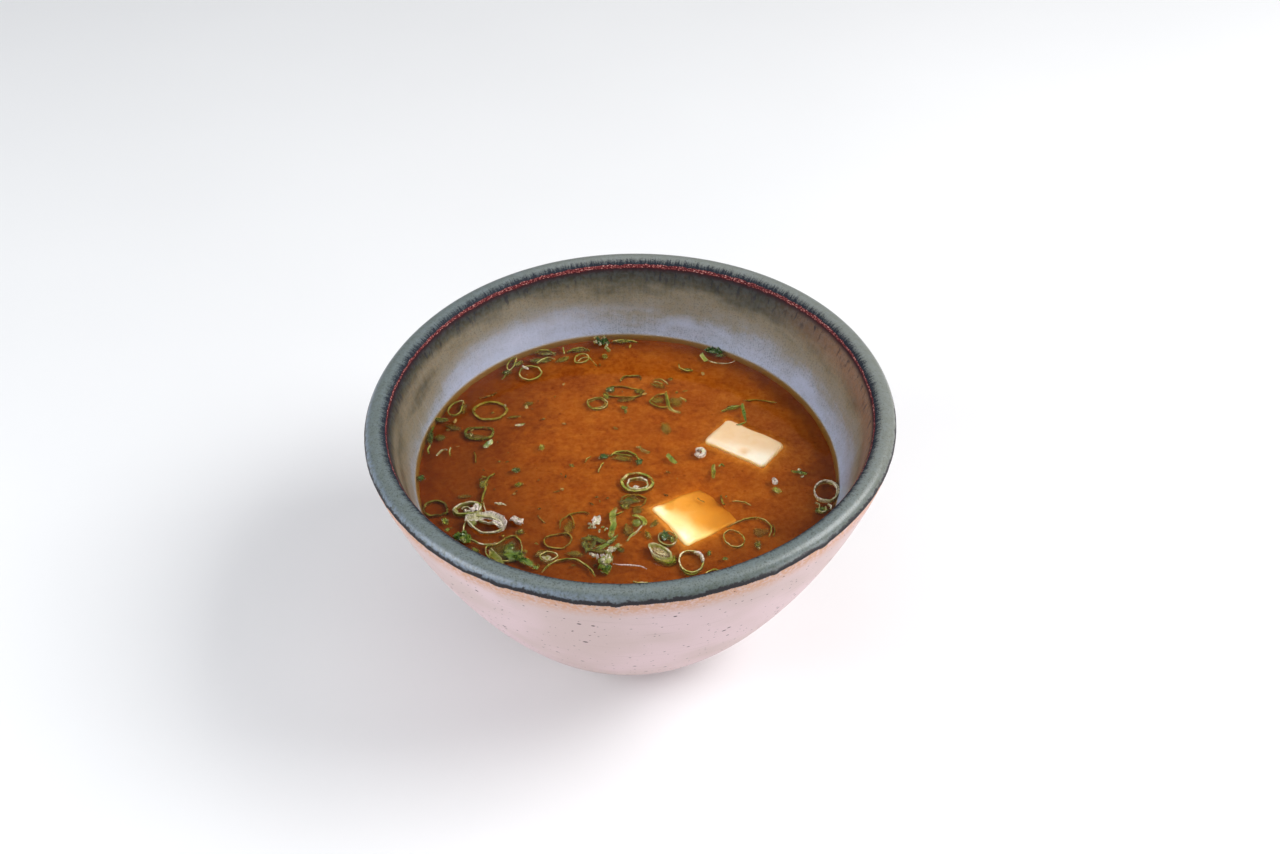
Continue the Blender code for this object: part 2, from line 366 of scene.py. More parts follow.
@dataclass(frozen=True)
class StonewareFinish:
    """Bare speckled clay outside and a grey-green glaze that breaks to rust on the lip's inner edge.

    The vertices carry run, the way along the wall from the lip's crown in millimetres (negative
    outside), and edge, the way up from the glaze's lower edge.
    """

    clay: Colour = linear(200, 179, 176)
    clay_pink: Colour = linear(212, 189, 191)
    clay_grain: Colour = linear(170, 148, 146)
    speck: Colour = linear(48, 38, 42)
    halo: Colour = linear(198, 152, 124)
    edge_line: Colour = linear(18, 12, 20)
    navy: Colour = linear(27, 31, 43)
    moss: Colour = linear(56, 62, 52)
    sheen: Colour = linear(122, 134, 142)
    lilac: Colour = linear(174, 183, 206)
    # Painted light: the colour that the lip's back right turns to, where the key light falls.
    painted_lip_light: Colour = linear(176, 168, 150)
    # Painted sheen: a pale lavender reflection of the lights, low on the back-left wall.
    painted_sheen: Colour = linear(190, 195, 216)
    maroon: Colour = linear(58, 22, 26)
    ochre: Colour = linear(158, 118, 90)
    # Painted highlight: a soft bluish streak on the outer lip at the front left.
    painted_highlight: Colour = linear(132, 147, 170)
    stain: Colour = linear(120, 92, 46)
    level: float = 50.2

    def build(self, effects: Effects) -> bpy.types.Material:
        """Return the bowl's material."""
        finish, graph, shader = new_finish("glazed_stoneware")
        place = graph.millimetres()
        run = graph.attribute("run")
        edge = graph.attribute("edge")
        fine = graph.noise(place, 0.5, 3.0)
        edge = graph.math("ADD", edge, graph.spread(fine, -0.5, 0.5))
        glazed = graph.step(edge, -0.06, 0.06)
        clay = self._clay(graph, effects, place, edge)
        glaze = self._glaze(graph, effects, place, run, edge)
        graph.feed(shader.inputs["Base Color"], graph.mix(glazed, clay, glaze))
        grain = graph.noise(place, 0.35, 4.0, 0.65)
        clay_rough = graph.spread(grain, 0.66, 0.86)
        shoulder = graph.math("MULTIPLY", graph.step(run, 0.2, 1.6), graph.step(run, 8.0, 4.0))
        glaze_rough = graph.spread(graph.noise(place, 1.6, 3.0), 0.30, 0.46)
        glaze_rough = graph.math("ADD", glaze_rough, graph.math("MULTIPLY", shoulder, 0.25))
        rough = graph.node("ShaderNodeMix", {0: glazed, 2: clay_rough, 3: glaze_rough}).outputs[0]
        lined = graph.step(edge, 1.6, 0.6)
        rough = graph.math("ADD", rough, graph.math("MULTIPLY", lined, 0.3))
        graph.feed(shader.inputs["Roughness"], rough)
        coat = graph.math("MULTIPLY", graph.math("SUBTRACT", 1.0, graph.math("MAXIMUM", shoulder, lined)), 0.22)
        graph.feed(shader.inputs["Coat Weight"], graph.math("MULTIPLY", glazed, coat))
        graph.feed(shader.inputs["Specular IOR Level"], graph.math("SUBTRACT", 0.5, graph.math("MULTIPLY", shoulder, 0.35)))
        graph.feed(shader.inputs["Coat Roughness"], 0.24)
        relief = graph.node("ShaderNodeMix", {0: glazed, 2: grain, 3: graph.noise(place, 0.8, 3.0)}).outputs[0]
        graph.feed(shader.inputs["Normal"], graph.bump(relief, 0.07, 0.8))
        return finish

    def _clay(self, graph: Graph, effects: Effects, place: object, edge: object) -> bpy.types.NodeSocket:
        """Return the bare clay's colour: pale, with throwing lines, grain, iron specks and a warm halo.

        Args:
            graph: the material's graph.
            effects: the shared node groups.
            place: the place in millimetres.
            edge: the way up from the glaze's lower edge.

        Returns:
            The colour.
        """
        broad = graph.noise(place, 22.0, 2.0)
        colour = graph.mix(graph.step(broad, 0.35, 0.65), self.clay, self.clay_pink)
        flat = graph.vector("MULTIPLY", place, (0.05, 0.05, 1.0))
        lines = graph.noise(flat, 0.8, 3.0, 0.6)
        colour = graph.mix(graph.math("MULTIPLY", graph.step(lines, 0.55, 0.80), 0.34), colour, self.clay_grain)
        grain = graph.noise(place, 0.30, 2.0)
        colour = graph.mix(graph.math("MULTIPLY", graph.step(grain, 0.58, 0.75), 0.25), colour, self.clay_grain)
        warmth = graph.step(graph.noise(place, 0.9, 4.0, 0.6), 0.26, 0.60)
        halo = graph.math("MULTIPLY", graph.step(edge, -6.5, -1.0), warmth)
        colour = graph.mix(graph.math("MULTIPLY", halo, 0.95), colour, self.halo)
        long = graph.vector("MULTIPLY", place, (0.6, 0.6, 1.0))
        for spacing, size, share, depth in ((1.1, 0.22, 0.5, 0.8), (2.6, 0.16, 0.6, 1.0), (6.5, 0.085, 0.75, 1.0)):
            feeds = {"Place": long, "Spacing": spacing, "Size": size, "Share": share}
            mask = graph.group(effects.specks, feeds).outputs["Mask"]
            colour = graph.mix(graph.math("MULTIPLY", mask, depth), colour, self.speck)
        return colour

    def _glaze(
        self, graph: Graph, effects: Effects, place: object, run: object, edge: object
    ) -> bpy.types.NodeSocket:
        """Return the glaze's colour, from its dark outer edge over the lip and down the inside.

        Args:
            graph: the material's graph.
            effects: the shared node groups.
            place: the place in millimetres.
            run: the way along the wall from the crown.
            edge: the way up from the glaze's lower edge.

        Returns:
            The colour.
        """
        squat = graph.vector("MULTIPLY", place, (0.35, 0.35, 1.0))
        drift = graph.spread(graph.noise(squat, 4.5, 3.0, 0.6), -5.5, 5.5)
        threads = graph.group(effects.streaks, {"Place": place, "Width": 1.1, "Length": 16.0})
        drift = graph.math("ADD", drift, graph.spread(threads.outputs["Value"], -1.6, 1.6))
        along = graph.math("ADD", run, graph.math("MULTIPLY", drift, graph.step(run, 4.2, 9.0)))
        side, behind, _ = graph.node("ShaderNodeSeparateXYZ", {0: place}).outputs
        # Painted light and shade: the wall's bands shift with the side it faces, lighter on the left (pale), darker at
        # the far left (left) and at the back (rear).
        pale = graph.math("MULTIPLY", graph.step(side, 4.0, -26.0), graph.step(run, 4.4, 8.0))
        left = graph.math("MULTIPLY", graph.step(side, -36.0, -56.0), graph.step(run, 8.0, 14.0))
        rear = graph.math("MULTIPLY", graph.step(behind, 44.0, 58.0), graph.step(run, 8.0, 14.0))
        along = graph.math("ADD", along, graph.math("MULTIPLY", pale, 2.3))
        along = graph.math("SUBTRACT", along, graph.math("MULTIPLY", left, 5.5))
        along = graph.math("SUBTRACT", along, graph.math("MULTIPLY", rear, 1.6))
        colour = graph.ramp(
            along,
            (
                (-6.0, linear(34, 32, 36)),
                (-4.3, linear(38, 38, 42)),
                (-3.5, linear(54, 60, 56)),
                (-2.6, linear(82, 91, 84)),
                (-1.3, linear(98, 107, 102)),
                (0.6, linear(101, 111, 109)),
                (2.2, linear(80, 88, 90)),
                (3.6, linear(52, 44, 42)),
                (6.0, linear(55, 52, 40)),
                (8.5, linear(84, 79, 60)),
                (12.0, linear(132, 121, 98)),
                (15.5, linear(140, 134, 122)),
                (18.5, linear(152, 155, 164)),
                (23.0, linear(168, 174, 193)),
                (28.0, linear(150, 148, 158)),
            ),
        )
        warm = graph.math("MULTIPLY", graph.step(side, 34.0, 58.0), graph.step(run, 13.0, 7.0))
        warm = graph.math("MULTIPLY", warm, graph.step(run, 3.2, 4.2))
        colour = graph.mix(graph.math("MULTIPLY", warm, 0.65), colour, self.ochre)
        colour = self._mottled(graph, effects, place, run, colour)
        return self._edged(graph, effects, place, run, edge, colour)

    def _mottled(
        self, graph: Graph, effects: Effects, place: object, run: object, colour: object
    ) -> bpy.types.NodeSocket:
        """Return the glaze with its pale clouds, dark freckles and the lilac bloom low on the wall, with painted light
        on the lip's back right and a painted sheen low on the back-left wall.
        """
        mottle = graph.group(effects.mottle, {"Place": place, "Size": 1.2, "Contrast": 0.3}).outputs["Value"]
        lip = graph.step(run, 3.0, 1.5)
        colour = graph.mix(graph.math("MULTIPLY", mottle, graph.spread(lip, 0.14, 0.30)), colour, self.sheen)
        side, behind, height = graph.node("ShaderNodeSeparateXYZ", {0: place}).outputs
        freckle = graph.step(graph.noise(place, 0.42, 3.0, 0.6), 0.50, 0.66)
        near = graph.spread(graph.math("MULTIPLY", lip, graph.step(behind, 25.0, -35.0)), 0.36, 0.66)
        colour = graph.mix(graph.math("MULTIPLY", freckle, near), colour, self.moss)
        # Painted light: the lip turns lighter towards the back right, where the key light falls.
        around = graph.vector("NORMALIZE", graph.vector("MULTIPLY", place, (1.0, 1.0, 0.0)))
        painted_lip_light = graph.step(graph.vector("DOT_PRODUCT", around, (0.75, 0.66, 0.0)), -0.1, 0.7)
        painted_lip_light = graph.math("MULTIPLY", painted_lip_light, lip)
        colour = graph.mix(graph.math("MULTIPLY", painted_lip_light, 0.18), colour, self.painted_lip_light)
        squat = graph.vector("MULTIPLY", place, (0.5, 0.5, 1.0))
        feeds = {"Place": place, "Spacing": 0.95, "Size": 0.24, "Share": 0.6}
        dots = graph.group(effects.specks, feeds).outputs["Mask"]
        dots = graph.math("MULTIPLY", dots, graph.step(run, 4.0, 2.0))
        colour = graph.mix(graph.math("MULTIPLY", dots, 0.55), colour, self.moss)
        patches = graph.step(graph.noise(squat, 7.0, 3.0, 0.6), 0.46, 0.66)
        bloom = graph.math("MULTIPLY", patches, graph.step(run, 12.0, 20.0))
        bloom = graph.math("MULTIPLY", bloom, graph.step(side, -54.0, -42.0))
        colour = graph.mix(graph.math("MULTIPLY", bloom, 0.5), colour, self.lilac)
        # Painted reflection: a pale lavender sheen in soft clouds, low on the back-left wall, where the lights show in
        # the glaze.
        painted_sheen_mask = graph.math("MULTIPLY", graph.step(side, 0.0, -24.0), graph.step(side, -53.0, -34.0))
        cloudy = graph.spread(graph.noise(squat, 5.0, 3.0, 0.6), 0.1, 0.85)
        painted_sheen_mask = graph.math("MULTIPLY", graph.math("MULTIPLY", painted_sheen_mask, graph.step(run, 11.5, 18.5)), cloudy)
        colour = graph.mix(painted_sheen_mask, colour, self.painted_sheen)
        feeds = {"Place": place, "Width": 0.5, "Length": 9.0}
        sparkle = graph.step(graph.group(effects.streaks, feeds).outputs["Value"], 0.56, 0.70)
        low = graph.math("MULTIPLY", sparkle, graph.step(run, 13.0, 19.0))
        colour = graph.mix(graph.math("MULTIPLY", low, 0.16), colour, linear(206, 208, 222))
        blots = graph.group(effects.streaks, {"Place": place, "Width": 1.1, "Length": 3.6}).outputs["Value"]
        high = graph.math("MULTIPLY", graph.step(run, 4.2, 5.2), graph.step(run, 9.5, 6.0))
        spots = graph.math("MULTIPLY", graph.step(blots, 0.52, 0.66), high)
        colour = graph.mix(graph.math("MULTIPLY", spots, 0.7), colour, self.navy)
        stain = graph.step(height, self.level + 0.5, self.level - 0.6)
        return graph.mix(graph.math("MULTIPLY", stain, 0.9), colour, self.stain)

    def _edged(
        self, graph: Graph, effects: Effects, place: object, run: object, edge: object, colour: object
    ) -> bpy.types.NodeSocket:
        """Return the glaze with its dark spikes, rust and maroon at the inner edge, a painted highlight on the
        front-left lip, and its dark outer edge.
        """
        feeds = {"Place": place, "Width": 0.45, "Length": 40.0, "Radius": 60.0}
        spikes = graph.group(effects.streaks, feeds).outputs["Value"]
        grit = graph.spread(graph.noise(place, 0.4, 3.0), -1.5, 1.5)
        reach = graph.math("ADD", run, graph.spread(spikes, -2.0, 2.0))
        reach = graph.math("ADD", reach, grit)
        dark = graph.math("MULTIPLY", graph.step(reach, 0.7, 2.5), graph.step(run, 5.4, 3.0))
        colour = graph.mix(graph.math("MULTIPLY", dark, 0.95), colour, self.navy)
        side = graph.node("ShaderNodeSeparateXYZ", {0: place}).outputs[1]
        back = graph.step(side, 10.0, 48.0)
        shift = graph.math("ADD", run, graph.spread(graph.noise(place, 1.8, 3.0), -0.45, 0.45))
        width = graph.math("ADD", graph.math("MULTIPLY", back, 0.45), 3.05)
        rust_end = graph.math("ADD", width, 0.3)
        rusted = graph.math("MULTIPLY", graph.step(shift, 2.6, 2.8), graph.step(shift, rust_end, width))
        threads = graph.noise(graph.vector("MULTIPLY", place, (1.0, 1.0, 2.2)), 0.55, 3.0, 0.7)
        # The line's own dark reds and pink crumbs; its palest stops are partly painted glints on the beads.
        rust = graph.ramp(
            threads,
            (
                (0.30, linear(52, 18, 24)),
                (0.47, linear(92, 32, 38)),
                (0.56, linear(138, 58, 58)),
                (0.63, linear(216, 150, 138)),
                (0.72, linear(248, 226, 218)),
            ),
        )
        wine_end = graph.math("ADD", width, 1.5)
        wine = graph.math("MULTIPLY", graph.step(shift, 2.9, 3.3), graph.step(shift, wine_end, width))
        colour = graph.mix(graph.math("MULTIPLY", wine, 0.85), colour, self.maroon)
        colour = graph.mix(graph.math("MULTIPLY", rusted, 0.92), colour, rust)
        # Painted highlight: a soft, grainy bluish streak on the outer lip at the front left, where the left light
        # reflects.
        around = graph.vector("NORMALIZE", graph.vector("MULTIPLY", place, (1.0, 1.0, 0.0)))
        front = graph.step(graph.vector("DOT_PRODUCT", around, (-0.78, -0.62, 0.0)), 0.45, 0.85)
        reach = graph.math("ADD", edge, graph.spread(graph.noise(place, 1.6, 4.0, 0.6), 0.9, -0.9))
        streak = graph.math("MULTIPLY", graph.step(run, -4.4, -3.3), graph.step(run, -1.2, -2.6))
        painted_highlight_mask = graph.step(graph.noise(place, 0.9, 4.0, 0.6), 0.28, 0.62)
        painted_highlight_mask = graph.math("MULTIPLY", graph.math("MULTIPLY", streak, painted_highlight_mask), graph.math("MULTIPLY", front, 0.5))
        colour = graph.mix(painted_highlight_mask, colour, self.painted_highlight)
        outer = graph.math("MULTIPLY", graph.step(reach, 1.5, 0.95), graph.step(run, 0.0, -2.0))
        return graph.mix(outer, colour, self.edge_line)


@dataclass(frozen=True)
class BowlForm:
    """The bowl's turned section, with the frame's own sizes, and the potter's unevenness."""

    rim_radius: float = 0.0650
    lip_height: float = 0.0676
    lip_bead: float = 0.00295
    outer_slope: float = math.radians(14.8)
    inner_slope: float = math.radians(22.0)
    outer_reach: float = 0.0233
    inner_reach: float = 0.0073
    belly_slope: float = math.radians(23.5)
    belly_reach: float = 0.0166
    floor_height: float = 0.0072
    floor_reach: float = 0.0470
    foot_radius: float = 0.0247
    foot_height: float = 0.00175
    foot_width: float = 0.0042
    foot_hollow: float = 0.0019
    foot_edge: float = 0.0006
    rim_lean: float = 0.034
    out_of_round: float = 0.0030
    lobes: tuple = ((3, 0.6, 1.0), (5, 2.1, 0.6))

    @staticmethod
    def _bezier(corners: tuple[Point, Point, Point, Point], shares: list[float]) -> list[Point]:
        """Return points of a cubic curve at the given shares of its length."""
        points = []
        for t in shares:
            weights = ((1 - t) ** 3, 3 * t * (1 - t) ** 2, 3 * t * t * (1 - t), t**3)
            radius = sum(w * p[0] for w, p in zip(weights, corners))
            points.append((radius, sum(w * p[1] for w, p in zip(weights, corners))))
        return points

    @property
    def bead(self) -> Point:
        """The middle of the lip's round bead."""
        return self.rim_radius - self.lip_bead, self.lip_height

    def lip(self, steps: int) -> list[Point]:
        """Return the lip's round bead, from its outer slope over the crown to its inner slope."""
        first, last = -self.outer_slope, math.pi - self.inner_slope
        angles = [first + (last - first) * index / steps for index in range(steps + 1)]
        middle, height = self.bead
        return [(middle + self.lip_bead * math.cos(a), height + self.lip_bead * math.sin(a)) for a in angles]

    def outer_wall(self, steps: int, crowding: float = 1.0) -> list[Point]:
        """Return the outside from the lip down to the foot, its points crowded towards the lip."""
        start = self.lip(1)[0]
        handle = (
            start[0] - self.outer_reach * math.sin(self.outer_slope),
            start[1] - self.outer_reach * math.cos(self.outer_slope),
        )
        end = (self.foot_radius, self.foot_height)
        end_handle = (
            end[0] + self.belly_reach * math.cos(self.belly_slope),
            end[1] + self.belly_reach * math.sin(self.belly_slope),
        )
        shares = [(index / steps) ** crowding for index in range(steps + 1)]
        return self._bezier((start, handle, end_handle, end), shares)

    def inner_wall(self, steps: int, crowding: float = 1.0) -> list[Point]:
        """Return the inside from the lip down to the middle of the floor, crowded towards the lip."""
        start = self.lip(1)[1]
        handle = (
            start[0] - self.inner_reach * math.sin(self.inner_slope),
            start[1] - self.inner_reach * math.cos(self.inner_slope),
        )
        shares = [(index / steps) ** crowding for index in range(steps + 1)]
        corners = (start, handle, (self.floor_reach, self.floor_height), (0.0, self.floor_height))
        return self._bezier(corners, shares)

    def underside(self) -> list[Point]:
        """Return the underside, from the middle of the foot's hollow to the foot's outer corner."""
        inside = self.foot_radius - self.foot_width
        return [
            (0.0, self.foot_hollow),
            (inside - 2 * self.foot_edge, self.foot_hollow),
            (inside, self.foot_hollow - self.foot_edge),
            (inside + self.foot_edge, 0.0),
            (self.foot_radius - 2 * self.foot_edge, 0.0),
            (self.foot_radius - self.foot_edge / 2, self.foot_edge),
        ]

    def inside_radius(self, height: float) -> float:
        """Return the inner wall's radius at a height above the floor."""
        wall = self.inner_wall(160)
        for (outer, high), (inner, low) in zip(wall, wall[1:]):
            if low <= height <= high:
                return inner + (outer - inner) * (height - low) / (high - low)
        return 0.0

    def thrown(self, point: Vector) -> Vector:
        """Return a point of the true turned shape, moved to where the potter's hand left it."""
        height = point.z / self.lip_height
        angle = math.atan2(point.y, point.x)
        swell = sum(share * math.cos(count * angle + phase) for count, phase, share in self.lobes)
        scale = 1.0 + self.out_of_round * height * swell
        lean = self.rim_lean * point.x * height**2
        return Vector((point.x * scale, point.y * scale, point.z + lean))

    def turned(self, outline: list[Point], sides: int, numbers: dict[str, list[float]]) -> bmesh.types.BMesh:
        """Return a closed shape turned from a section that starts and ends on the axis.

        Args:
            outline: the section's (radius, height) points.
            sides: how many sides it has, a multiple of 16.
            numbers: for each name, the number that every point of the section carries.

        Returns:
            The shape, still truly round.
        """
        mesh = bmesh.new()
        layers = {name: mesh.verts.layers.float.new(name) for name in numbers}
        corners = []
        for index, (radius, height) in enumerate(outline):
            corner = mesh.verts.new((radius, 0.0, height))
            for name, layer in layers.items():
                corner[layer] = numbers[name][index]
            corners.append(corner)
        edges = [mesh.edges.new(pair) for pair in zip(corners, corners[1:])]
        arc = TURN / 16
        bmesh.ops.spin(mesh, geom=corners + edges, cent=(0, 0, 0), axis=UP, angle=arc, steps=sides // 16)
        for _ in range(4):
            parts = bmesh.ops.duplicate(mesh, geom=mesh.verts[:] + mesh.edges[:] + mesh.faces[:])["geom"]
            copied = [part for part in parts if isinstance(part, bmesh.types.BMVert)]
            bmesh.ops.rotate(mesh, cent=(0, 0, 0), matrix=Matrix.Rotation(arc, 3, "Z"), verts=copied)
            arc *= 2.0
        bmesh.ops.remove_doubles(mesh, verts=mesh.verts, dist=1e-7)
        bmesh.ops.recalc_face_normals(mesh, faces=mesh.faces)
        return mesh

    def wall_radius(self, angle: float, height: float) -> float:
        """Return the inner wall's real radius in a direction, at a real height.

        Args:
            angle: the direction round the axis.
            height: the height above the table.

        Returns:
            The radius before the wall is made out of round, at the height that leans to the given one.
        """
        true_height, radius = height, 0.0
        for _ in range(4):
            radius = self.inside_radius(true_height)
            lean = self.rim_lean * radius * math.cos(angle) * (true_height / self.lip_height) ** 2
            true_height = height - lean
        return radius

    def filling(
        self,
        rings: int,
        sides: int,
        edge_height: float,
        reach: float,
        surface: Callable[[float, float, float], float],
    ) -> bmesh.types.BMesh:
        """Return a closed solid that fills the bowl below a surface.

        Args:
            rings: how many rings of faces the surface has.
            sides: how many sides the solid has.
            edge_height: the surface's height where it meets the wall.
            reach: how far the solid reaches into the wall.
            surface: gives the height at an x and y, and at a distance from the wall.

        Returns:
            The solid, in place.
        """
        shares = [math.sin(math.pi / 2 * index / rings) for index in range(rings + 1)]
        wall = [point for point in self.inner_wall(60) if point[1] < edge_height - 0.004]
        outline = [(share * 0.05, edge_height) for share in shares]
        for index, (radius, height) in enumerate(wall):
            before, after = wall[max(index - 1, 0)], wall[min(index + 1, len(wall) - 1)]
            along = Vector((after[0] - before[0], after[1] - before[1])).normalized()
            outline.append((radius - along.y * reach, height + along.x * reach))
        outline[-1] = (0.0, outline[-1][1])
        mesh = self.turned(outline, sides, {"share": shares + [-1.0] * len(wall)})
        layer = mesh.verts.layers.float["share"]
        edges = {}
        for corner in mesh.verts:
            share = corner[layer]
            if share < 0.0:
                corner.co = self.thrown(corner.co)
                continue
            angle = math.atan2(corner.co.y, corner.co.x)
            key = round(angle, 5)
            if key not in edges:
                edges[key] = self.wall_radius(angle, edge_height)
            flat = Vector((math.cos(angle), math.sin(angle), 0.0)) * (edges[key] * share + reach * share**8)
            flat.z = edge_height
            round_place = self.thrown(flat)
            height = surface(round_place.x, round_place.y, edges[key] * (1.0 - share))
            corner.co = Vector((round_place.x, round_place.y, height))
        mesh.verts.layers.float.remove(layer)
        return mesh


@dataclass(frozen=True)
class StonewareBowl:
    """The hand-thrown bowl: bare clay outside, with a thick glaze over the lip and the inside."""

    form: BowlForm
    finish: bpy.types.Material
    sides: int = 512
    outer_steps: int = 54
    lip_steps: int = 36
    inner_steps: int = 50
    glaze_run: float = -4.4
    glaze_wander: float = 0.45
    drip: float = 0.55
    coat: float = 0.20
    groove: float = 0.07
    ridge: float = 0.10
    foot_fade: float = 8.0

    def _glaze_edge(self, angle: float) -> float:
        """Return how far along the wall the glaze's lower edge lies, in millimetres, in a direction."""
        around = Vector((math.cos(angle), math.sin(angle), 0.0))
        broad = noise.noise(around * 4.0 + Vector((3.0, 1.0, 0.0)))
        nicks = noise.noise(around * 26.0 + Vector((0.0, 7.0, 2.0)))
        drips = smooth(noise.noise(around * 13.0 + Vector((5.0, 0.0, 9.0))), 0.25, 0.6)
        return self.glaze_run + self.glaze_wander * (broad + 0.5 * nicks) - self.drip * drips

    def _section(self) -> tuple[list[Point], list[float]]:
        """Return the section's points and how far along the wall each lies from the crown."""
        outside = self.form.outer_wall(self.outer_steps, 1.5)[::-1]
        lip = self.form.lip(self.lip_steps)
        inside = self.form.inner_wall(self.inner_steps, 1.2)
        outline = self.form.underside() + outside + lip[1:-1] + inside
        runs = [0.0]
        for before, after in zip(outline, outline[1:]):
            runs.append(runs[-1] + math.dist(before, after) / MM)
        crown = max(range(len(outline)), key=lambda index: outline[index][1])
        return outline, [run - runs[crown] for run in runs]

    def _relief(self, run: float, angle: float, edge: float, foot_run: float) -> float:
        """Return how far a point of the wall lies inside the true section, in millimetres.

        Args:
            run: the way along the wall from the crown.
            angle: the direction round the axis.
            edge: the way up from the glaze's lower edge.
            foot_run: the run of the foot's outer corner.

        Returns:
            The depth, positive into the clay.
        """
        around = Vector((math.cos(angle), math.sin(angle), 0.0))
        if run < 0.0:
            bare = 1.0 - smooth(edge, -0.12, 0.30)
            spiral = run + 2.4 * angle / TURN
            rings = 0.5 + 0.5 * noise.noise(Vector((spiral * 0.42, 3.0, 1.0)))
            rings += 0.35 * noise.noise(around * 5.0 + Vector((0.0, 0.0, run * 0.15)))
            depth = bare * (self.coat + self.groove * rings)
            return depth * smooth(run - foot_run, 0.5, self.foot_fade)
        groove = smooth(run, 3.1, 3.5) * (1.0 - smooth(run, 3.9, 6.5))
        waves = 0.5 + 0.5 * noise.noise(around * 3.0 + Vector((0.0, 0.0, run * 0.22)))
        return self.ridge * groove + self.groove * waves * smooth(run, 5.0, 9.0)

    def build(self) -> bpy.types.Object:
        """Make the bowl in place of its frame node."""
        outline, runs = self._section()
        normals = []
        for index in range(len(outline)):
            before, after = outline[max(index - 1, 0)], outline[min(index + 1, len(outline) - 1)]
            along = Vector((after[0] - before[0], after[1] - before[1])).normalized()
            normals.append((along.y, -along.x))
        numbers = {
            "run": runs,
            "edge": runs,
            "out": [normal[0] for normal in normals],
            "rise": [normal[1] for normal in normals],
        }
        mesh = self.form.turned(outline, self.sides, numbers)
        run_layer, edge_layer, out_layer, rise_layer = (mesh.verts.layers.float[name] for name in numbers)
        foot_run = runs[len(self.form.underside())]
        edges = {}
        for corner in mesh.verts:
            angle = math.atan2(corner.co.y, corner.co.x)
            key = round(angle, 5)
            if key not in edges:
                edges[key] = self._glaze_edge(angle)
            run = corner[run_layer]
            edge = run - edges[key]
            corner[edge_layer] = edge
            if run > foot_run:
                depth = self._relief(run, angle, edge, foot_run) * MM
                out = Vector((math.cos(angle), math.sin(angle), 0.0)) * corner[out_layer]
                corner.co -= (out + UP * corner[rise_layer]) * depth
            corner.co = self.form.thrown(corner.co)
        mesh.verts.layers.float.remove(out_layer)
        mesh.verts.layers.float.remove(mesh.verts.layers.float["rise"])
        return finished_piece("stoneware_bowl", mesh, self.finish, ("bowl",), 50.0)


@dataclass(frozen=True)
class BrothFinish:
    """The clear part of the broth: it swallows blue first, then green, so that depth turns it brown."""

    tint: Colour = (0.86, 0.69, 0.05)
    density: float = 560.0

    def build(self, effects: Effects) -> bpy.types.Material:
        """Return the broth's material, which lets the lights through to what lies in it."""
        finish, graph, shader = new_finish("miso_broth")
        graph.feed(shader.inputs["Base Color"], (1.0, 1.0, 1.0))
        graph.feed(shader.inputs["Transmission Weight"], 1.0)
        graph.feed(shader.inputs["IOR"], 1.33)
        place = graph.millimetres()
        film = graph.group(effects.mottle, {"Place": place, "Size": 9.0, "Contrast": 0.6}).outputs["Value"]
        graph.feed(shader.inputs["Roughness"], graph.spread(film, 0.03, 0.09))
        graph.feed(shader.inputs["Normal"], graph.bump(graph.noise(place, 3.5, 2.0), 0.05, 0.35))
        path = graph.node("ShaderNodeLightPath").outputs["Is Shadow Ray"]
        clear = graph.node("ShaderNodeBsdfTransparent").outputs[0]
        mixed = graph.node("ShaderNodeMixShader", {0: path, 1: shader.outputs[0], 2: clear})
        output = finish.node_tree.nodes["Material Output"]
        graph.feed(output.inputs["Surface"], mixed.outputs[0])
        feeds = {"Color": self.tint, "Density": self.density}
        graph.feed(output.inputs["Volume"], graph.node("ShaderNodeVolumeAbsorption", feeds).outputs[0])
        return finish


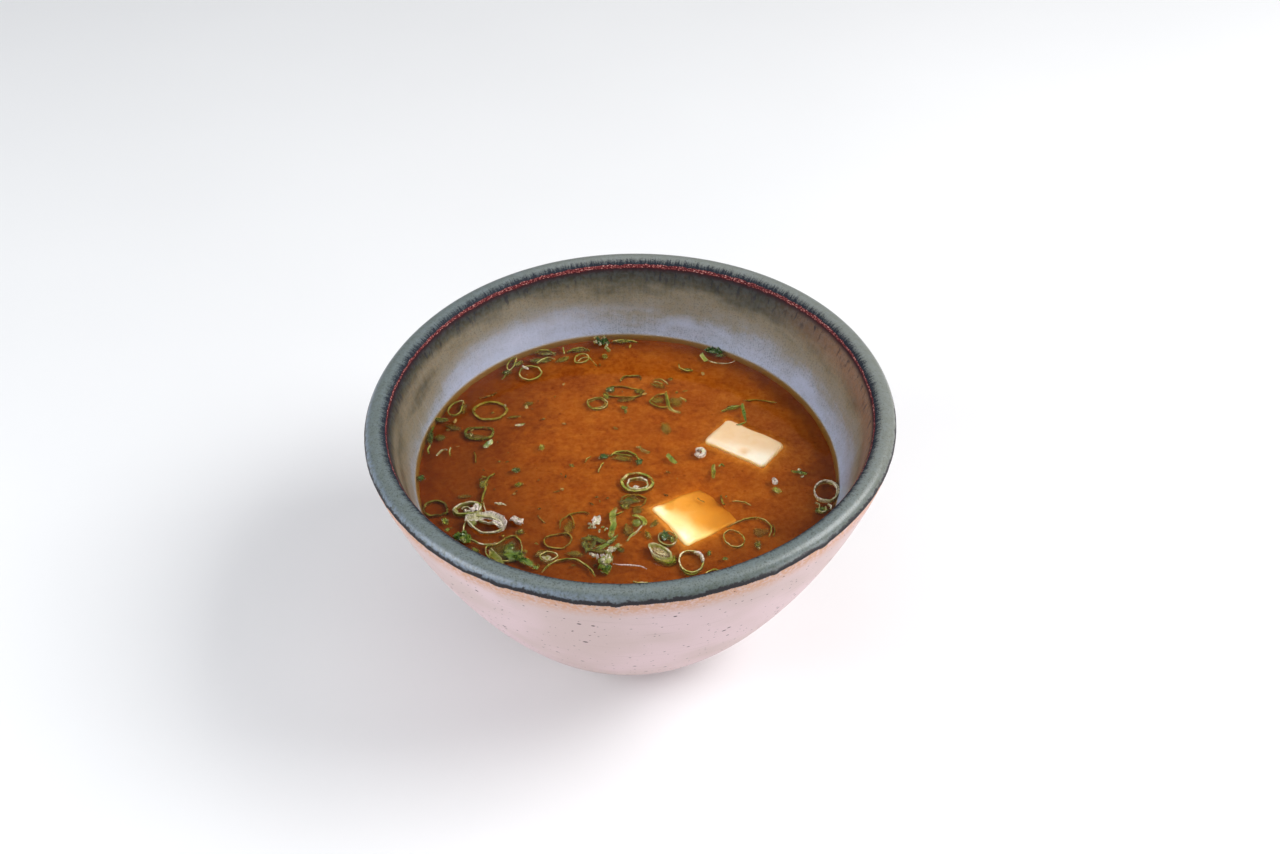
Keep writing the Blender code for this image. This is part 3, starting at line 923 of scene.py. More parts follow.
@dataclass(frozen=True)
class CloudFinish:
    """The miso that hangs in the broth: soft clouds of orange and brown, darkened towards the wall by painted shade."""

    dark: Colour = (0.235, 0.066, 0.013)
    main: Colour = (0.33, 0.113, 0.026)
    light: Colour = (0.42, 0.168, 0.047)
    # Used both for the painted shade towards the wall and for the miso's own dark specks.
    shade: Colour = (0.14, 0.034, 0.008)
    glow: Colour = (0.80, 0.38, 0.10)

    def build(self, effects: Effects) -> bpy.types.Material:
        """Return the cloud's material."""
        finish, graph, shader = new_finish("miso_cloud")
        place = graph.millimetres()
        small = graph.group(effects.mottle, {"Place": place, "Size": 1.3, "Contrast": 0.7}).outputs["Value"]
        long = graph.vector("MULTIPLY", place, (0.6, 1.0, 1.0))
        broad = graph.group(effects.mottle, {"Place": long, "Size": 6.0, "Contrast": 0.7}).outputs["Value"]
        grain = graph.noise(place, 0.5, 2.0, 0.6)
        share = graph.math("ADD", graph.math("MULTIPLY", small, 0.42), graph.math("MULTIPLY", broad, 0.36))
        share = graph.math("ADD", share, graph.math("MULTIPLY", grain, 0.22))
        colour = graph.ramp(share, ((0.26, self.dark), (0.49, self.main), (0.74, self.light)))
        # Painted shade: the cloud darkens from a point right of and behind the middle out towards the wall, where the
        # bowl shades the broth.
        centred = graph.vector("ADD", place, (-13.0, -7.0, 0.0))
        away = graph.vector("LENGTH", graph.vector("MULTIPLY", centred, (1.0, 1.0, 0.0)))
        away = graph.math("ADD", away, graph.spread(graph.noise(place, 12.0, 3.0), -12.0, 12.0))
        rim = graph.math("MULTIPLY", graph.step(away, 27.0, 56.0), 0.62)
        colour = graph.mix(rim, colour, self.shade)
        # Painted shade: darker again in the last few millimetres before the wall.
        around = graph.vector("LENGTH", graph.vector("MULTIPLY", place, (1.0, 1.0, 0.0)))
        edge = graph.step(graph.math("ADD", around, graph.spread(small, -1.0, 1.0)), 45.5, 51.0)
        colour = graph.mix(graph.math("MULTIPLY", edge, 0.42), colour, self.shade)
        feeds = {"Place": place, "Spacing": 2.6, "Size": 0.2, "Share": 0.5}
        spots = graph.group(effects.specks, feeds).outputs["Mask"]
        colour = graph.mix(graph.math("MULTIPLY", spots, 0.5), colour, self.shade)
        glow = graph.math("MULTIPLY", graph.attribute("glow"), graph.spread(small, 0.25, 0.55))
        colour = graph.mix(glow, colour, self.glow)
        graph.feed(shader.inputs["Base Color"], colour)
        graph.feed(shader.inputs["Roughness"], graph.spread(small, 0.85, 1.0))
        graph.feed(shader.inputs["Specular IOR Level"], 0.0)
        return finish


@dataclass(frozen=True)
class TofuFinish:
    """Silken curd, ivory, soaked to orange where the broth has washed over it.

    The vertices carry soak, from 0 where the curd is clean to 1 where it is soaked.
    """

    level: float
    curd: Colour = linear(250, 236, 212)
    soaked: Colour = linear(220, 166, 90)
    shade: Colour = linear(226, 178, 112)
    veil: Colour = (0.36, 0.13, 0.03)

    def build(self, effects: Effects) -> bpy.types.Material:
        """Return the tofu's material."""
        finish, graph, shader = new_finish("tofu")
        place = graph.millimetres()
        mottle = graph.group(effects.mottle, {"Place": place, "Size": 3.4, "Contrast": 0.7}).outputs["Value"]
        soak = graph.math("ADD", graph.attribute("soak"), graph.spread(mottle, -0.10, 0.10), clamp=True)
        colour = graph.mix(soak, self.curd, self.soaked)
        grain = graph.noise(place, 0.6, 3.0)
        colour = graph.mix(graph.math("MULTIPLY", graph.step(grain, 0.58, 0.8), 0.22), colour, self.shade)
        height = graph.node("ShaderNodeSeparateXYZ", {0: place}).outputs[2]
        height = graph.math("ADD", height, graph.spread(mottle, -0.25, 0.25))
        wet = graph.math("MULTIPLY", graph.step(height, self.level + 0.5, self.level - 0.4), 0.2)
        colour = graph.mix(wet, colour, self.soaked)
        sunk = graph.step(height, self.level - 1.0, self.level - 2.9)
        colour = graph.mix(graph.math("MULTIPLY", sunk, 0.9), colour, self.veil)
        graph.feed(shader.inputs["Base Color"], colour)
        graph.feed(shader.inputs["Roughness"], graph.spread(mottle, 0.36, 0.52))
        graph.feed(shader.inputs["Subsurface Weight"], 0.3)
        graph.feed(shader.inputs["Subsurface Radius"], (1.0, 0.6, 0.3))
        graph.feed(shader.inputs["Subsurface Scale"], 0.0018)
        graph.feed(shader.inputs["Normal"], graph.bump(grain, 0.05, 0.6))
        return finish


@dataclass(frozen=True)
class ScallionFinish:
    """Wet scallion, from the dark green of the leaf to the whitish cut of the stem.

    The vertices carry tone, from 0 for dark green to 1 for whitish and past 1 to a painted pinkish highlight, and body,
    how solid the leaf is.
    What lies deep is veiled by the miso that hangs in the broth.
    """

    level: float
    veil: Colour = (0.26, 0.085, 0.017)
    vein: Colour = linear(104, 86, 62)

    def build(self, effects: Effects) -> bpy.types.Material:
        """Return the scallion's material."""
        finish, graph, shader = new_finish("scallion")
        place = graph.millimetres()
        mottle = graph.group(effects.mottle, {"Place": place, "Size": 0.9, "Contrast": 0.6}).outputs["Value"]
        tone = graph.math("ADD", graph.attribute("tone"), graph.spread(mottle, -0.14, 0.14))
        colour = graph.ramp(
            tone,
            (
                (0.0, linear(42, 70, 16)),
                (0.2, linear(72, 102, 24)),
                (0.4, linear(110, 128, 40)),
                (0.6, linear(146, 152, 64)),
                (0.8, linear(178, 172, 108)),
                (1.0, linear(224, 216, 182)),
                # Past 1 the tone runs to a pinkish white: a painted highlight on wet leaf.
                (1.3, linear(238, 218, 214)),
            ),
        )
        height = graph.node("ShaderNodeSeparateXYZ", {0: place}).outputs[2]
        sunk = graph.step(height, self.level + 0.15, self.level - 1.7)
        colour = graph.mix(graph.math("MULTIPLY", sunk, 0.8), colour, self.veil)
        veins = graph.noise(graph.vector("MULTIPLY", place, (1.0, 1.0, 0.35)), 0.5, 3.0, 0.7)
        veins = graph.math("MULTIPLY", graph.step(veins, 0.47, 0.62), graph.step(tone, 0.55, 1.0))
        colour = graph.mix(graph.math("MULTIPLY", veins, 0.7), colour, self.vein)
        graph.feed(shader.inputs["Base Color"], colour)
        graph.feed(shader.inputs["Roughness"], graph.spread(mottle, 0.22, 0.42))
        graph.feed(shader.inputs["Coat Weight"], 0.4)
        graph.feed(shader.inputs["Coat Roughness"], 0.12)
        fibres = graph.noise(graph.vector("MULTIPLY", place, (1.0, 1.0, 0.2)), 0.15, 2.0)
        graph.feed(shader.inputs["Normal"], graph.bump(fibres, 0.03, 0.6))
        thin = graph.spread(graph.noise(place, 0.8, 2.0), 0.75, 1.2)
        graph.feed(shader.inputs["Alpha"], graph.math("MULTIPLY", graph.attribute("body"), thin, clamp=True))
        return finish


@dataclass(frozen=True)
class Shore:
    """The edge of something that stands in the broth, where the broth climbs a little."""

    middle: Vector
    half: tuple[float, float]
    heading: float
    is_ring: bool
    climb: float
    fall: float = 0.8 * MM
    crown: float = 0.0
    dip: float = 0.0

    def gap(self, x: float, y: float) -> float:
        """Return how far a place lies outside this thing's sides, or 0 inside them."""
        away = Vector((x - self.middle.x, y - self.middle.y))
        if away.length > sum(self.half) + 12.0 * self.fall:
            return away.length
        along, across = Matrix.Rotation(math.radians(-self.heading), 2) @ away
        return math.hypot(max(abs(along) - self.half[0], 0.0), max(abs(across) - self.half[1], 0.0))

    def top(self, x: float, y: float) -> float:
        """Return how high the plane of this thing's top lies at a place."""
        turn = math.radians(self.heading + 90.0)
        out = (x - self.middle.x) * math.cos(turn) + (y - self.middle.y) * math.sin(turn)
        return self.crown - math.tan(math.radians(self.dip)) * out

    def lift(self, x: float, y: float) -> float:
        """Return how far the broth climbs at a place."""
        away_x, away_y = x - self.middle.x, y - self.middle.y
        if math.hypot(away_x, away_y) > sum(self.half) + 5.0 * self.fall:
            return 0.0
        turn = math.radians(self.heading)
        along = abs(away_x * math.cos(turn) + away_y * math.sin(turn))
        across = abs(away_y * math.cos(turn) - away_x * math.sin(turn))
        if self.is_ring:
            share = math.hypot(along / self.half[0], across / self.half[1])
            gap = abs(share - 1.0) * min(self.half)
        else:
            gap = math.hypot(max(along - self.half[0], 0.0), max(across - self.half[1], 0.0))
        return self.climb * math.exp(-gap / self.fall)


@dataclass(frozen=True)
class Broth:
    """The clear broth, which climbs the wall and the tofu a little, as a liquid does."""

    form: BowlForm
    finish: bpy.types.Material
    level: float
    shores: tuple[Shore, ...]
    rings: int = 120
    sides: int = 384
    reach: float = 0.25 * MM
    meniscus: float = 0.4 * MM
    meniscus_fall: float = 0.9 * MM
    ripple: float = 0.05 * MM

    def _surface(self, x: float, y: float, to_wall: float) -> float:
        """Return the broth's height at a place."""
        climb = self.meniscus * math.exp(-to_wall / self.meniscus_fall)
        ripple = self.ripple * noise.noise(Vector((x, y, 0.0)) / (9.0 * MM))
        return self.level + climb + ripple + sum(shore.lift(x, y) for shore in self.shores)

    def build(self) -> bpy.types.Object:
        """Make the broth in place of the frame's soup."""
        edge = self.level + self.meniscus
        mesh = self.form.filling(self.rings, self.sides, edge, self.reach, self._surface)
        return finished_piece("broth", mesh, self.finish, ("soup",), 30.0)


@dataclass(frozen=True)
class MisoCloud:
    """The settled miso inside the broth, with a lumpy top that falls away before the wall."""

    form: BowlForm
    finish: bpy.types.Material
    level: float
    blocks: tuple[Shore, ...]
    rings: int = 190
    sides: int = 400
    depth: float = 1.7 * MM
    lumps: float = 0.4 * MM
    drop: float = 0.3 * MM
    shore: float = 5.0 * MM
    shore_wander: float = 2.0 * MM
    bank: float = 0.85 * MM
    bank_fall: float = 1.5 * MM
    glow_fall: float = 0.9 * MM

    def _surface(self, x: float, y: float, to_wall: float) -> float:
        """Return the cloud's height at a place."""
        place = Vector((x, y, 0.0)) / MM
        lumps = noise.noise(place / 6.0) + 0.5 * noise.noise(place / 2.2 + Vector((7.0, 0.0, 0.0)))
        shore = self.shore + self.shore_wander * noise.noise(place / 14.0 + Vector((0.0, 5.0, 0.0)))
        fall = 1.0 - smooth(to_wall, 0.0, shore)
        height = self.level - self.depth + self.lumps * lumps - self.drop * fall
        for block in self.blocks:
            share = math.exp(-block.gap(x, y) / self.bank_fall)
            bank = min(self.level - self.bank, block.top(x, y) - 0.7 * MM)
            height += (bank - height) * share
        return height

    def build(self) -> bpy.types.Object:
        """Make the cloud. Its vertices carry glow, the light that the tofu sheds on it."""
        edge = self.level - self.depth - self.drop
        mesh = self.form.filling(self.rings, self.sides, edge, 0.15 * MM, self._surface)
        glow = mesh.verts.layers.float.new("glow")
        for corner in mesh.verts:
            gap = min(block.gap(corner.co.x, corner.co.y) for block in self.blocks)
            corner[glow] = math.exp(-gap / self.glow_fall)
        return finished_piece("miso_cloud", mesh, self.finish, (), 60.0)


def placed(mesh: bmesh.types.BMesh, middle: Vector, heading: float, dip_towards: float, dip: float) -> None:
    """Turn a shape about Z, dip its side that faces one direction, and move it to its place.

    Args:
        mesh: the shape, round the origin.
        middle: where its origin goes.
        heading: how far it turns, in degrees.
        dip_towards: the direction that dips, in degrees.
        dip: how far it dips, in degrees.
    """
    across = math.radians(dip_towards)
    axis = Vector((-math.sin(across), math.cos(across), 0.0))
    tip = Matrix.Rotation(math.radians(dip), 4, axis)
    spin = Matrix.Rotation(math.radians(heading), 4, "Z")
    bmesh.ops.transform(mesh, matrix=Matrix.Translation(middle) @ tip @ spin, verts=mesh.verts)


@dataclass(frozen=True)
class TofuBlock:
    """A block of silken tofu, cut by hand: its edges are soft and its faces a little pitted."""

    node: str
    length: float
    width: float
    heading: float
    dip: float
    skew: float
    seed: float
    soak_from: float
    soak_to: float
    soak_most: float = 1.0
    pit: Point = (0.0, 0.0)
    bulge: float = 0.0
    height: float = 12.0 * MM
    edge: float = 1.45 * MM
    cuts: int = 48
    wave: float = 0.35 * MM
    grain: float = 0.06 * MM
    climb: float = 0.35 * MM

    def shore(self) -> Shore:
        """Return where the broth climbs this block."""
        half = (self.length / 2, self.width / 2)
        middle = middle_of(self.node)
        crown = middle.z + self.height / 2
        return Shore(middle, half, self.heading, False, self.climb, crown=crown, dip=self.dip)

    def build(self, finish: bpy.types.Material) -> bpy.types.Object:
        """Make the block in place of its frame node."""
        mesh = bmesh.new()
        soak = mesh.verts.layers.float.new("soak")
        bmesh.ops.create_cube(mesh, size=1.0)
        bmesh.ops.subdivide_edges(mesh, edges=mesh.edges[:], cuts=self.cuts, use_grid_fill=True)
        half = Vector((self.length, self.width, self.height)) / 2.0
        for corner in mesh.verts:
            crowded = Vector(0.5 * math.sin(math.pi * side) for side in corner.co)
            place = Vector(2.0 * share * size for share, size in zip(crowded, half))
            edge = self.edge * (1.0 + 0.45 * noise.noise(place / (6.0 * MM) + Vector((self.seed, 2.0, 0.0))))
            core = Vector(max(-size + edge, min(size - edge, at)) for at, size in zip(place, half))
            out = place - core
            if out.length > 1e-9:
                place = core + out.normalized() * edge
            mark = place / MM + Vector((self.seed, 0.0, 0.0))
            face = out.normalized() if out.length > 1e-9 else Vector()
            wave = noise.noise(mark / 5.5) - 0.30
            place += face * (self.wave * wave + self.grain * noise.noise(mark / 0.9))
            top = smooth(place.z, half.z - 1.6 * MM, half.z - 0.5 * MM)
            wander = 1.4 * MM * noise.noise(mark / 6.0)
            soaked = self.soak_most * smooth(place.y - 0.35 * place.x + wander, self.soak_from, self.soak_to)
            spread = MM * (1.25 + 0.7 * noise.noise(mark / 1.6))
            pit = math.exp(-((place.x - self.pit[0]) ** 2 + (place.y - self.pit[1]) ** 2) / spread**2)
            corner[soak] = top * min(soaked + 0.55 * pit, 1.0)
            place.z -= 0.35 * MM * pit * top
            near, side = place.x / half.x, smooth(place.y / half.y, 0.2, 1.0)
            place.y += side * self.bulge * smooth(near, -1.0, 0.1)
            place.x += self.skew * place.y
            corner.co = place
        bmesh.ops.recalc_face_normals(mesh, faces=mesh.faces)
        placed(mesh, middle_of(self.node), self.heading, self.heading + 90.0, self.dip)
        return finished_piece(self.node + "_block", mesh, finish, (self.node,), 60.0)


def hoop(
    x: float, y: float, length: float, width: float, heading: float = 0.0, wobble: float = 0.10
) -> tuple[Point, ...]:
    """Return points round a hand-cut ring, in millimetres.

    Args:
        x: its middle.
        y: its middle.
        length: its longer size.
        width: its shorter size.
        heading: the direction of the longer size, in degrees.
        wobble: how far it strays from a true oval, as a share of its radius.

    Returns:
        The points. The last doesn't repeat the first.
    """
    turn = Matrix.Rotation(math.radians(heading), 2)
    points = []
    for index in range(12):
        angle = TURN * index / 12
        stray = noise.noise(Vector((math.cos(angle) * 1.4 + x, math.sin(angle) * 1.4 + y, 0.5)))
        scale = 1.0 + wobble * 2.0 * stray
        corner = turn @ Vector((math.cos(angle) * length / 2 * scale, math.sin(angle) * width / 2 * scale))
        points.append((x + corner.x, y + corner.y))
    return tuple(points)


@dataclass(frozen=True)
class Leaf:
    """A thin band of hollow leaf that stands on its edge along a path. Sizes are in millimetres.

    Args:
        path: a few places that its upper cut runs through.
        closed: whether it is a ring.
        top: how high its upper cut lies above the broth's level.
        height: how far down it reaches.
        wall: how thick the leaf is.
        tone: its colour, from 0 for dark green to 1 for whitish; past 1 it is a painted pinkish highlight.
        rim: how much paler its two cuts are.
        body: how solid it looks between its cuts, from 0 to 1.
        lean: how far it leans out from upright, in degrees.
        slide: how far its lower cut is shifted from under the upper one.
        slope: how much its upper cut rises for each millimetre along x and y.
        crumple: how far its surface strays.
        steps: how many points lie between two places.
    """

    path: tuple[Point, ...]
    closed: bool = False
    top: float = -0.5
    height: float = 1.2
    wall: float = 0.22
    tone: float = 0.4
    rim: float = 0.2
    body: float = 0.5
    lean: float = 0.0
    slide: Point = (0.0, 0.0)
    slope: Point = (0.0, 0.0)
    crumple: float = 0.24
    steps: int = 5
    rows: int = 3

    def points(self) -> list[Vector]:
        """Return points along a smooth curve through the path's places."""
        if self.closed:
            ends = [self.path[-1], *self.path, *self.path[:2]]
        else:
            ends = [self.path[0], *self.path, self.path[-1]]
        points = []
        for corners in zip(ends, ends[1:], ends[2:], ends[3:]):
            a, b, c, d = (Vector((*corner, 0.0)) for corner in corners)
            for index in range(self.steps):
                t = index / self.steps
                bend = (c - a) * t + (2 * a - 5 * b + 4 * c - d) * t * t + (3 * b - a - 3 * c + d) * t**3
                points.append(b + bend / 2.0)
        if not self.closed:
            points.append(Vector((*self.path[-1], 0.0)))
        return points

    @staticmethod
    def _outward(points: list[Vector], index: int, closed: bool) -> Vector:
        """Return the direction out from the path at a point, level with it."""
        count = len(points)
        if closed:
            before, after = points[index - 1], points[(index + 1) % count]
        else:
            before, after = points[max(index - 1, 0)], points[min(index + 1, count - 1)]
        along = (after - before).normalized()
        return Vector((along.y, -along.x, 0.0))

    def mesh(self, level: float) -> bmesh.types.BMesh:
        """Return the band as a closed solid in metres, in place."""
        points = self.points()
        count = len(points)
        mesh = bmesh.new()
        tone = mesh.verts.layers.float.new("tone")
        body = mesh.verts.layers.float.new("body")
        slot = mesh.verts.layers.int.new("slot")
        corners = [mesh.verts.new(point) for point in points]
        for index, corner in enumerate(corners):
            corner[slot] = index
        pairs = list(zip(corners, corners[1:]))
        if self.closed:
            pairs.append((corners[-1], corners[0]))
        edges = [mesh.edges.new(pair) for pair in pairs]
        for _ in range(self.rows):
            grown = bmesh.ops.extrude_edge_only(mesh, edges=edges)["geom"]
            edges = [part for part in grown if isinstance(part, bmesh.types.BMEdge)]
            sunk = [part for part in grown if isinstance(part, bmesh.types.BMVert)]
            bmesh.ops.translate(mesh, vec=(0.0, 0.0, -1.0 / self.rows), verts=sunk)
        middle = sum(points, Vector()) / count
        lean = math.radians(self.lean)
        slide, slope = Vector((*self.slide, 0.0)), Vector((*self.slope, 0.0))
        for corner in mesh.verts:
            index, down = corner[slot], -corner.co.z
            point = points[index]
            end = 1.0 if self.closed else smooth(min(index, count - 1 - index), -1.0, 0.22 * count)
            drop = down * self.height * (0.35 + 0.65 * end)
            out = self._outward(points, index, self.closed)
            mark = point * 0.8 + Vector((0.0, 0.0, down * 1.4))
            sag = out * (math.sin(lean) * drop + self.crumple * noise.noise(mark))
            lift = self.top + (point - middle).dot(slope) + 0.5 * self.crumple * noise.noise(mark * 0.5)
            corner.co = point + sag + slide * down + UP * (lift - math.cos(lean) * drop)
            cut = abs(2.0 * down - 1.0) ** 3
            patch = noise.noise(mark * 0.55)
            corner[tone] = self.tone + self.rim * cut * (0.7 + patch) + 0.3 * patch
            fade = 1.0 if self.top > 0.2 else smooth(noise.noise(point * 0.45 + UP * 9.0), -0.55, 0.0)
            corner[body] = (self.body + (1.0 - self.body) * cut) * (0.25 + 0.75 * end) * (0.45 + 0.55 * fade)
        bmesh.ops.recalc_face_normals(mesh, faces=mesh.faces)
        bmesh.ops.solidify(mesh, geom=mesh.faces[:], thickness=self.wall)
        bmesh.ops.recalc_face_normals(mesh, faces=mesh.faces)
        mesh.verts.layers.int.remove(mesh.verts.layers.int["slot"])
        bmesh.ops.scale(mesh, vec=(MM, MM, MM), verts=mesh.verts)
        bmesh.ops.translate(mesh, vec=(0.0, 0.0, level), verts=mesh.verts)
        return mesh


@dataclass(frozen=True)
class Flake:
    """A lump or a flat flake of scallion with a torn outline. Sizes are in millimetres.

    Args:
        x: where its middle lies.
        y: where its middle lies.
        length: its longer size.
        width: its shorter size.
        heading: the direction of the longer size, in degrees.
        top: how high its middle lies above the broth's level.
        thick: how thick it is.
        tone: its colour, from 0 for dark green to 1 for whitish; past 1 it is a painted pinkish highlight.
        body: how solid it looks, from 0 to 1.
        torn: how ragged it is.
        soft: whether it fades out towards its edge.
    """

    x: float
    y: float
    length: float
    width: float
    heading: float = 0.0
    top: float = -0.4
    thick: float = 0.35
    tone: float = 0.2
    body: float = 0.8
    torn: float = 0.6
    soft: bool = True
    finer: int = 3

    def mesh(self, level: float) -> bmesh.types.BMesh:
        """Return the flake as a closed solid in metres, in place."""
        mesh = bmesh.new()
        bmesh.ops.create_icosphere(mesh, subdivisions=self.finer, radius=1.0)
        tone = mesh.verts.layers.float.new("tone")
        body = mesh.verts.layers.float.new("body")
        mark = Vector((self.x, self.y, 0.0))
        turn = Matrix.Rotation(math.radians(self.heading), 3, "Z")
        for corner in mesh.verts:
            round_place = corner.co.copy()
            rag = noise.noise(round_place * 1.6 + mark) + 0.6 * noise.noise(round_place * 4.0 + mark)
            place = round_place * (1.0 + self.torn * rag)
            across = math.hypot(round_place.x, round_place.y)
            warp = self.thick * 1.2 * noise.noise(round_place * 1.3 - mark)
            shape = Vector((place.x * self.length / 2, place.y * self.width / 2, place.z * self.thick / 2 + warp))
            corner.co = turn @ shape + mark + UP * self.top
            corner[tone] = self.tone + 0.35 * noise.noise(round_place * 2.2 + mark)
            corner[body] = self.body * (1.0 - smooth(across, 0.55, 1.0)) if self.soft else self.body
        bmesh.ops.scale(mesh, vec=(MM, MM, MM), verts=mesh.verts)
        bmesh.ops.translate(mesh, vec=(0.0, 0.0, level), verts=mesh.verts)
        return mesh


def cluster(
    places: tuple[Point, ...], size: float, tone: float, top: float = 0.3, spread: float = 0.35
) -> tuple[Flake, ...]:
    """Return a knot of small bits along a few places, as in a floret.

    Args:
        places: where the bits lie, in millimetres.
        size: about how large they are.
        tone: their tone.
        top: how high they lie above the broth's level.
        spread: how far they stray from their places.

    Returns:
        The bits, three at each place.
    """
    dice = random.Random(places[0][0] * 7.0 + places[0][1])
    bits = []
    for x, y in places:
        for _ in range(3):
            length = size * dice.uniform(0.7, 1.3)
            bits.append(
                Flake(
                    x + dice.gauss(0.0, spread),
                    y + dice.gauss(0.0, spread),
                    length,
                    length * dice.uniform(0.4, 0.8),
                    heading=dice.uniform(0.0, 180.0),
                    top=top + dice.uniform(-0.3, 0.3),
                    thick=length * 0.5,
                    tone=tone + dice.uniform(-0.25, 0.25),
                    body=1.0,
                    torn=0.6,
                    soft=False,
                    finer=2,
                )
            )
    return tuple(bits)


def crumbs(shores: tuple[Shore, ...], count: int = 80, reach: float = 49.0) -> tuple[Flake, ...]:
    """Return small faint bits all over the broth, more of them towards the left and the front.

    Args:
        shores: the blocks that they keep clear of.
        count: how many there are.
        reach: how far out they lie, in millimetres.

    Returns:
        The bits.
    """
    dice = random.Random(11)
    bits = []
    while len(bits) < count:
        x, y = dice.uniform(-reach, reach), dice.uniform(-reach, reach)
        share = 0.35 + 0.65 * smooth(-x - 0.9 * y, -20.0, 45.0)
        clear = min(shore.gap(x * MM, y * MM) for shore in shores)
        if math.hypot(x, y) > reach or dice.random() > share or clear < 1.0 * MM:
            continue
        length = dice.uniform(0.5, 1.7) * dice.uniform(0.6, 1.2)
        bits.append(
            Flake(
                x,
                y,
                length,
                length * dice.uniform(0.3, 0.8),
                heading=dice.uniform(0.0, 180.0),
                top=dice.uniform(-1.4, -0.7),
                thick=0.25,
                tone=dice.choice((0.1, 0.25, 0.4, 0.6, 0.9)),
                body=0.75,
                torn=0.6,
                soft=False,
                finer=2,
            )
        )
    return tuple(bits)


@dataclass(frozen=True)
class Slice:
    """A ring of scallion that floats at the surface, made of bands and flakes of leaf."""

    node: str
    parts: tuple[Leaf | Flake, ...]
    climb: float = 0.25 * MM

    def shore(self) -> Shore:
        """Return where the broth climbs this ring."""
        low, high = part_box(self.node)
        half = ((high.x - low.x) * 0.46, (high.y - low.y) * 0.46)
        return Shore((low + high) / 2.0, half, 0.0, True, self.climb)

    def build(self, finish: bpy.types.Material, level: float) -> bpy.types.Object:
        """Make the ring in place of its frame node."""
        mesh = joined(self.parts, level)
        return finished_piece(self.node + "_slice", mesh, finish, (self.node,), 50.0)


def joined(parts: tuple[Leaf | Flake, ...], level: float) -> bmesh.types.BMesh:
    """Return one mesh of all the given bands and flakes.

    Args:
        parts: the bands and flakes.
        level: the broth's level in metres.

    Returns:
        The mesh, in metres and in place.
    """
    mesh = bmesh.new()
    mesh.verts.layers.float.new("tone")
    mesh.verts.layers.float.new("body")
    for part in parts:
        merge_into(mesh, part.mesh(level))
    return mesh


class Kind(Enum):
    """The kinds of smaller scallion cuts. Each kind is one piece."""

    RINGS = "sunk_rings"
    STRIPS = "leaf_strips"
    FLAKES = "leaf_flakes"
    CRUMBS = "leaf_crumbs"
    FLORETS = "leaf_florets"
    CHIPS_AND_GLINTS = "pale_chips_and_glints"


TOFU = (
    TofuBlock(
        "tofu_back", 17.7 * MM, 11.0 * MM, -33.5, 1.5, 0.03, 4.0, -6.5 * MM, 0.5 * MM, 0.62, (2.3 * MM, -3.8 * MM)
    ),
    TofuBlock(
        "tofu_front", 16.0 * MM, 15.0 * MM, -57.5, 6.8, -0.05, 31.0, -4.8 * MM, 0.5 * MM, 1.0,
        (-5.7 * MM, -3.4 * MM), 2.5 * MM
    ),
)

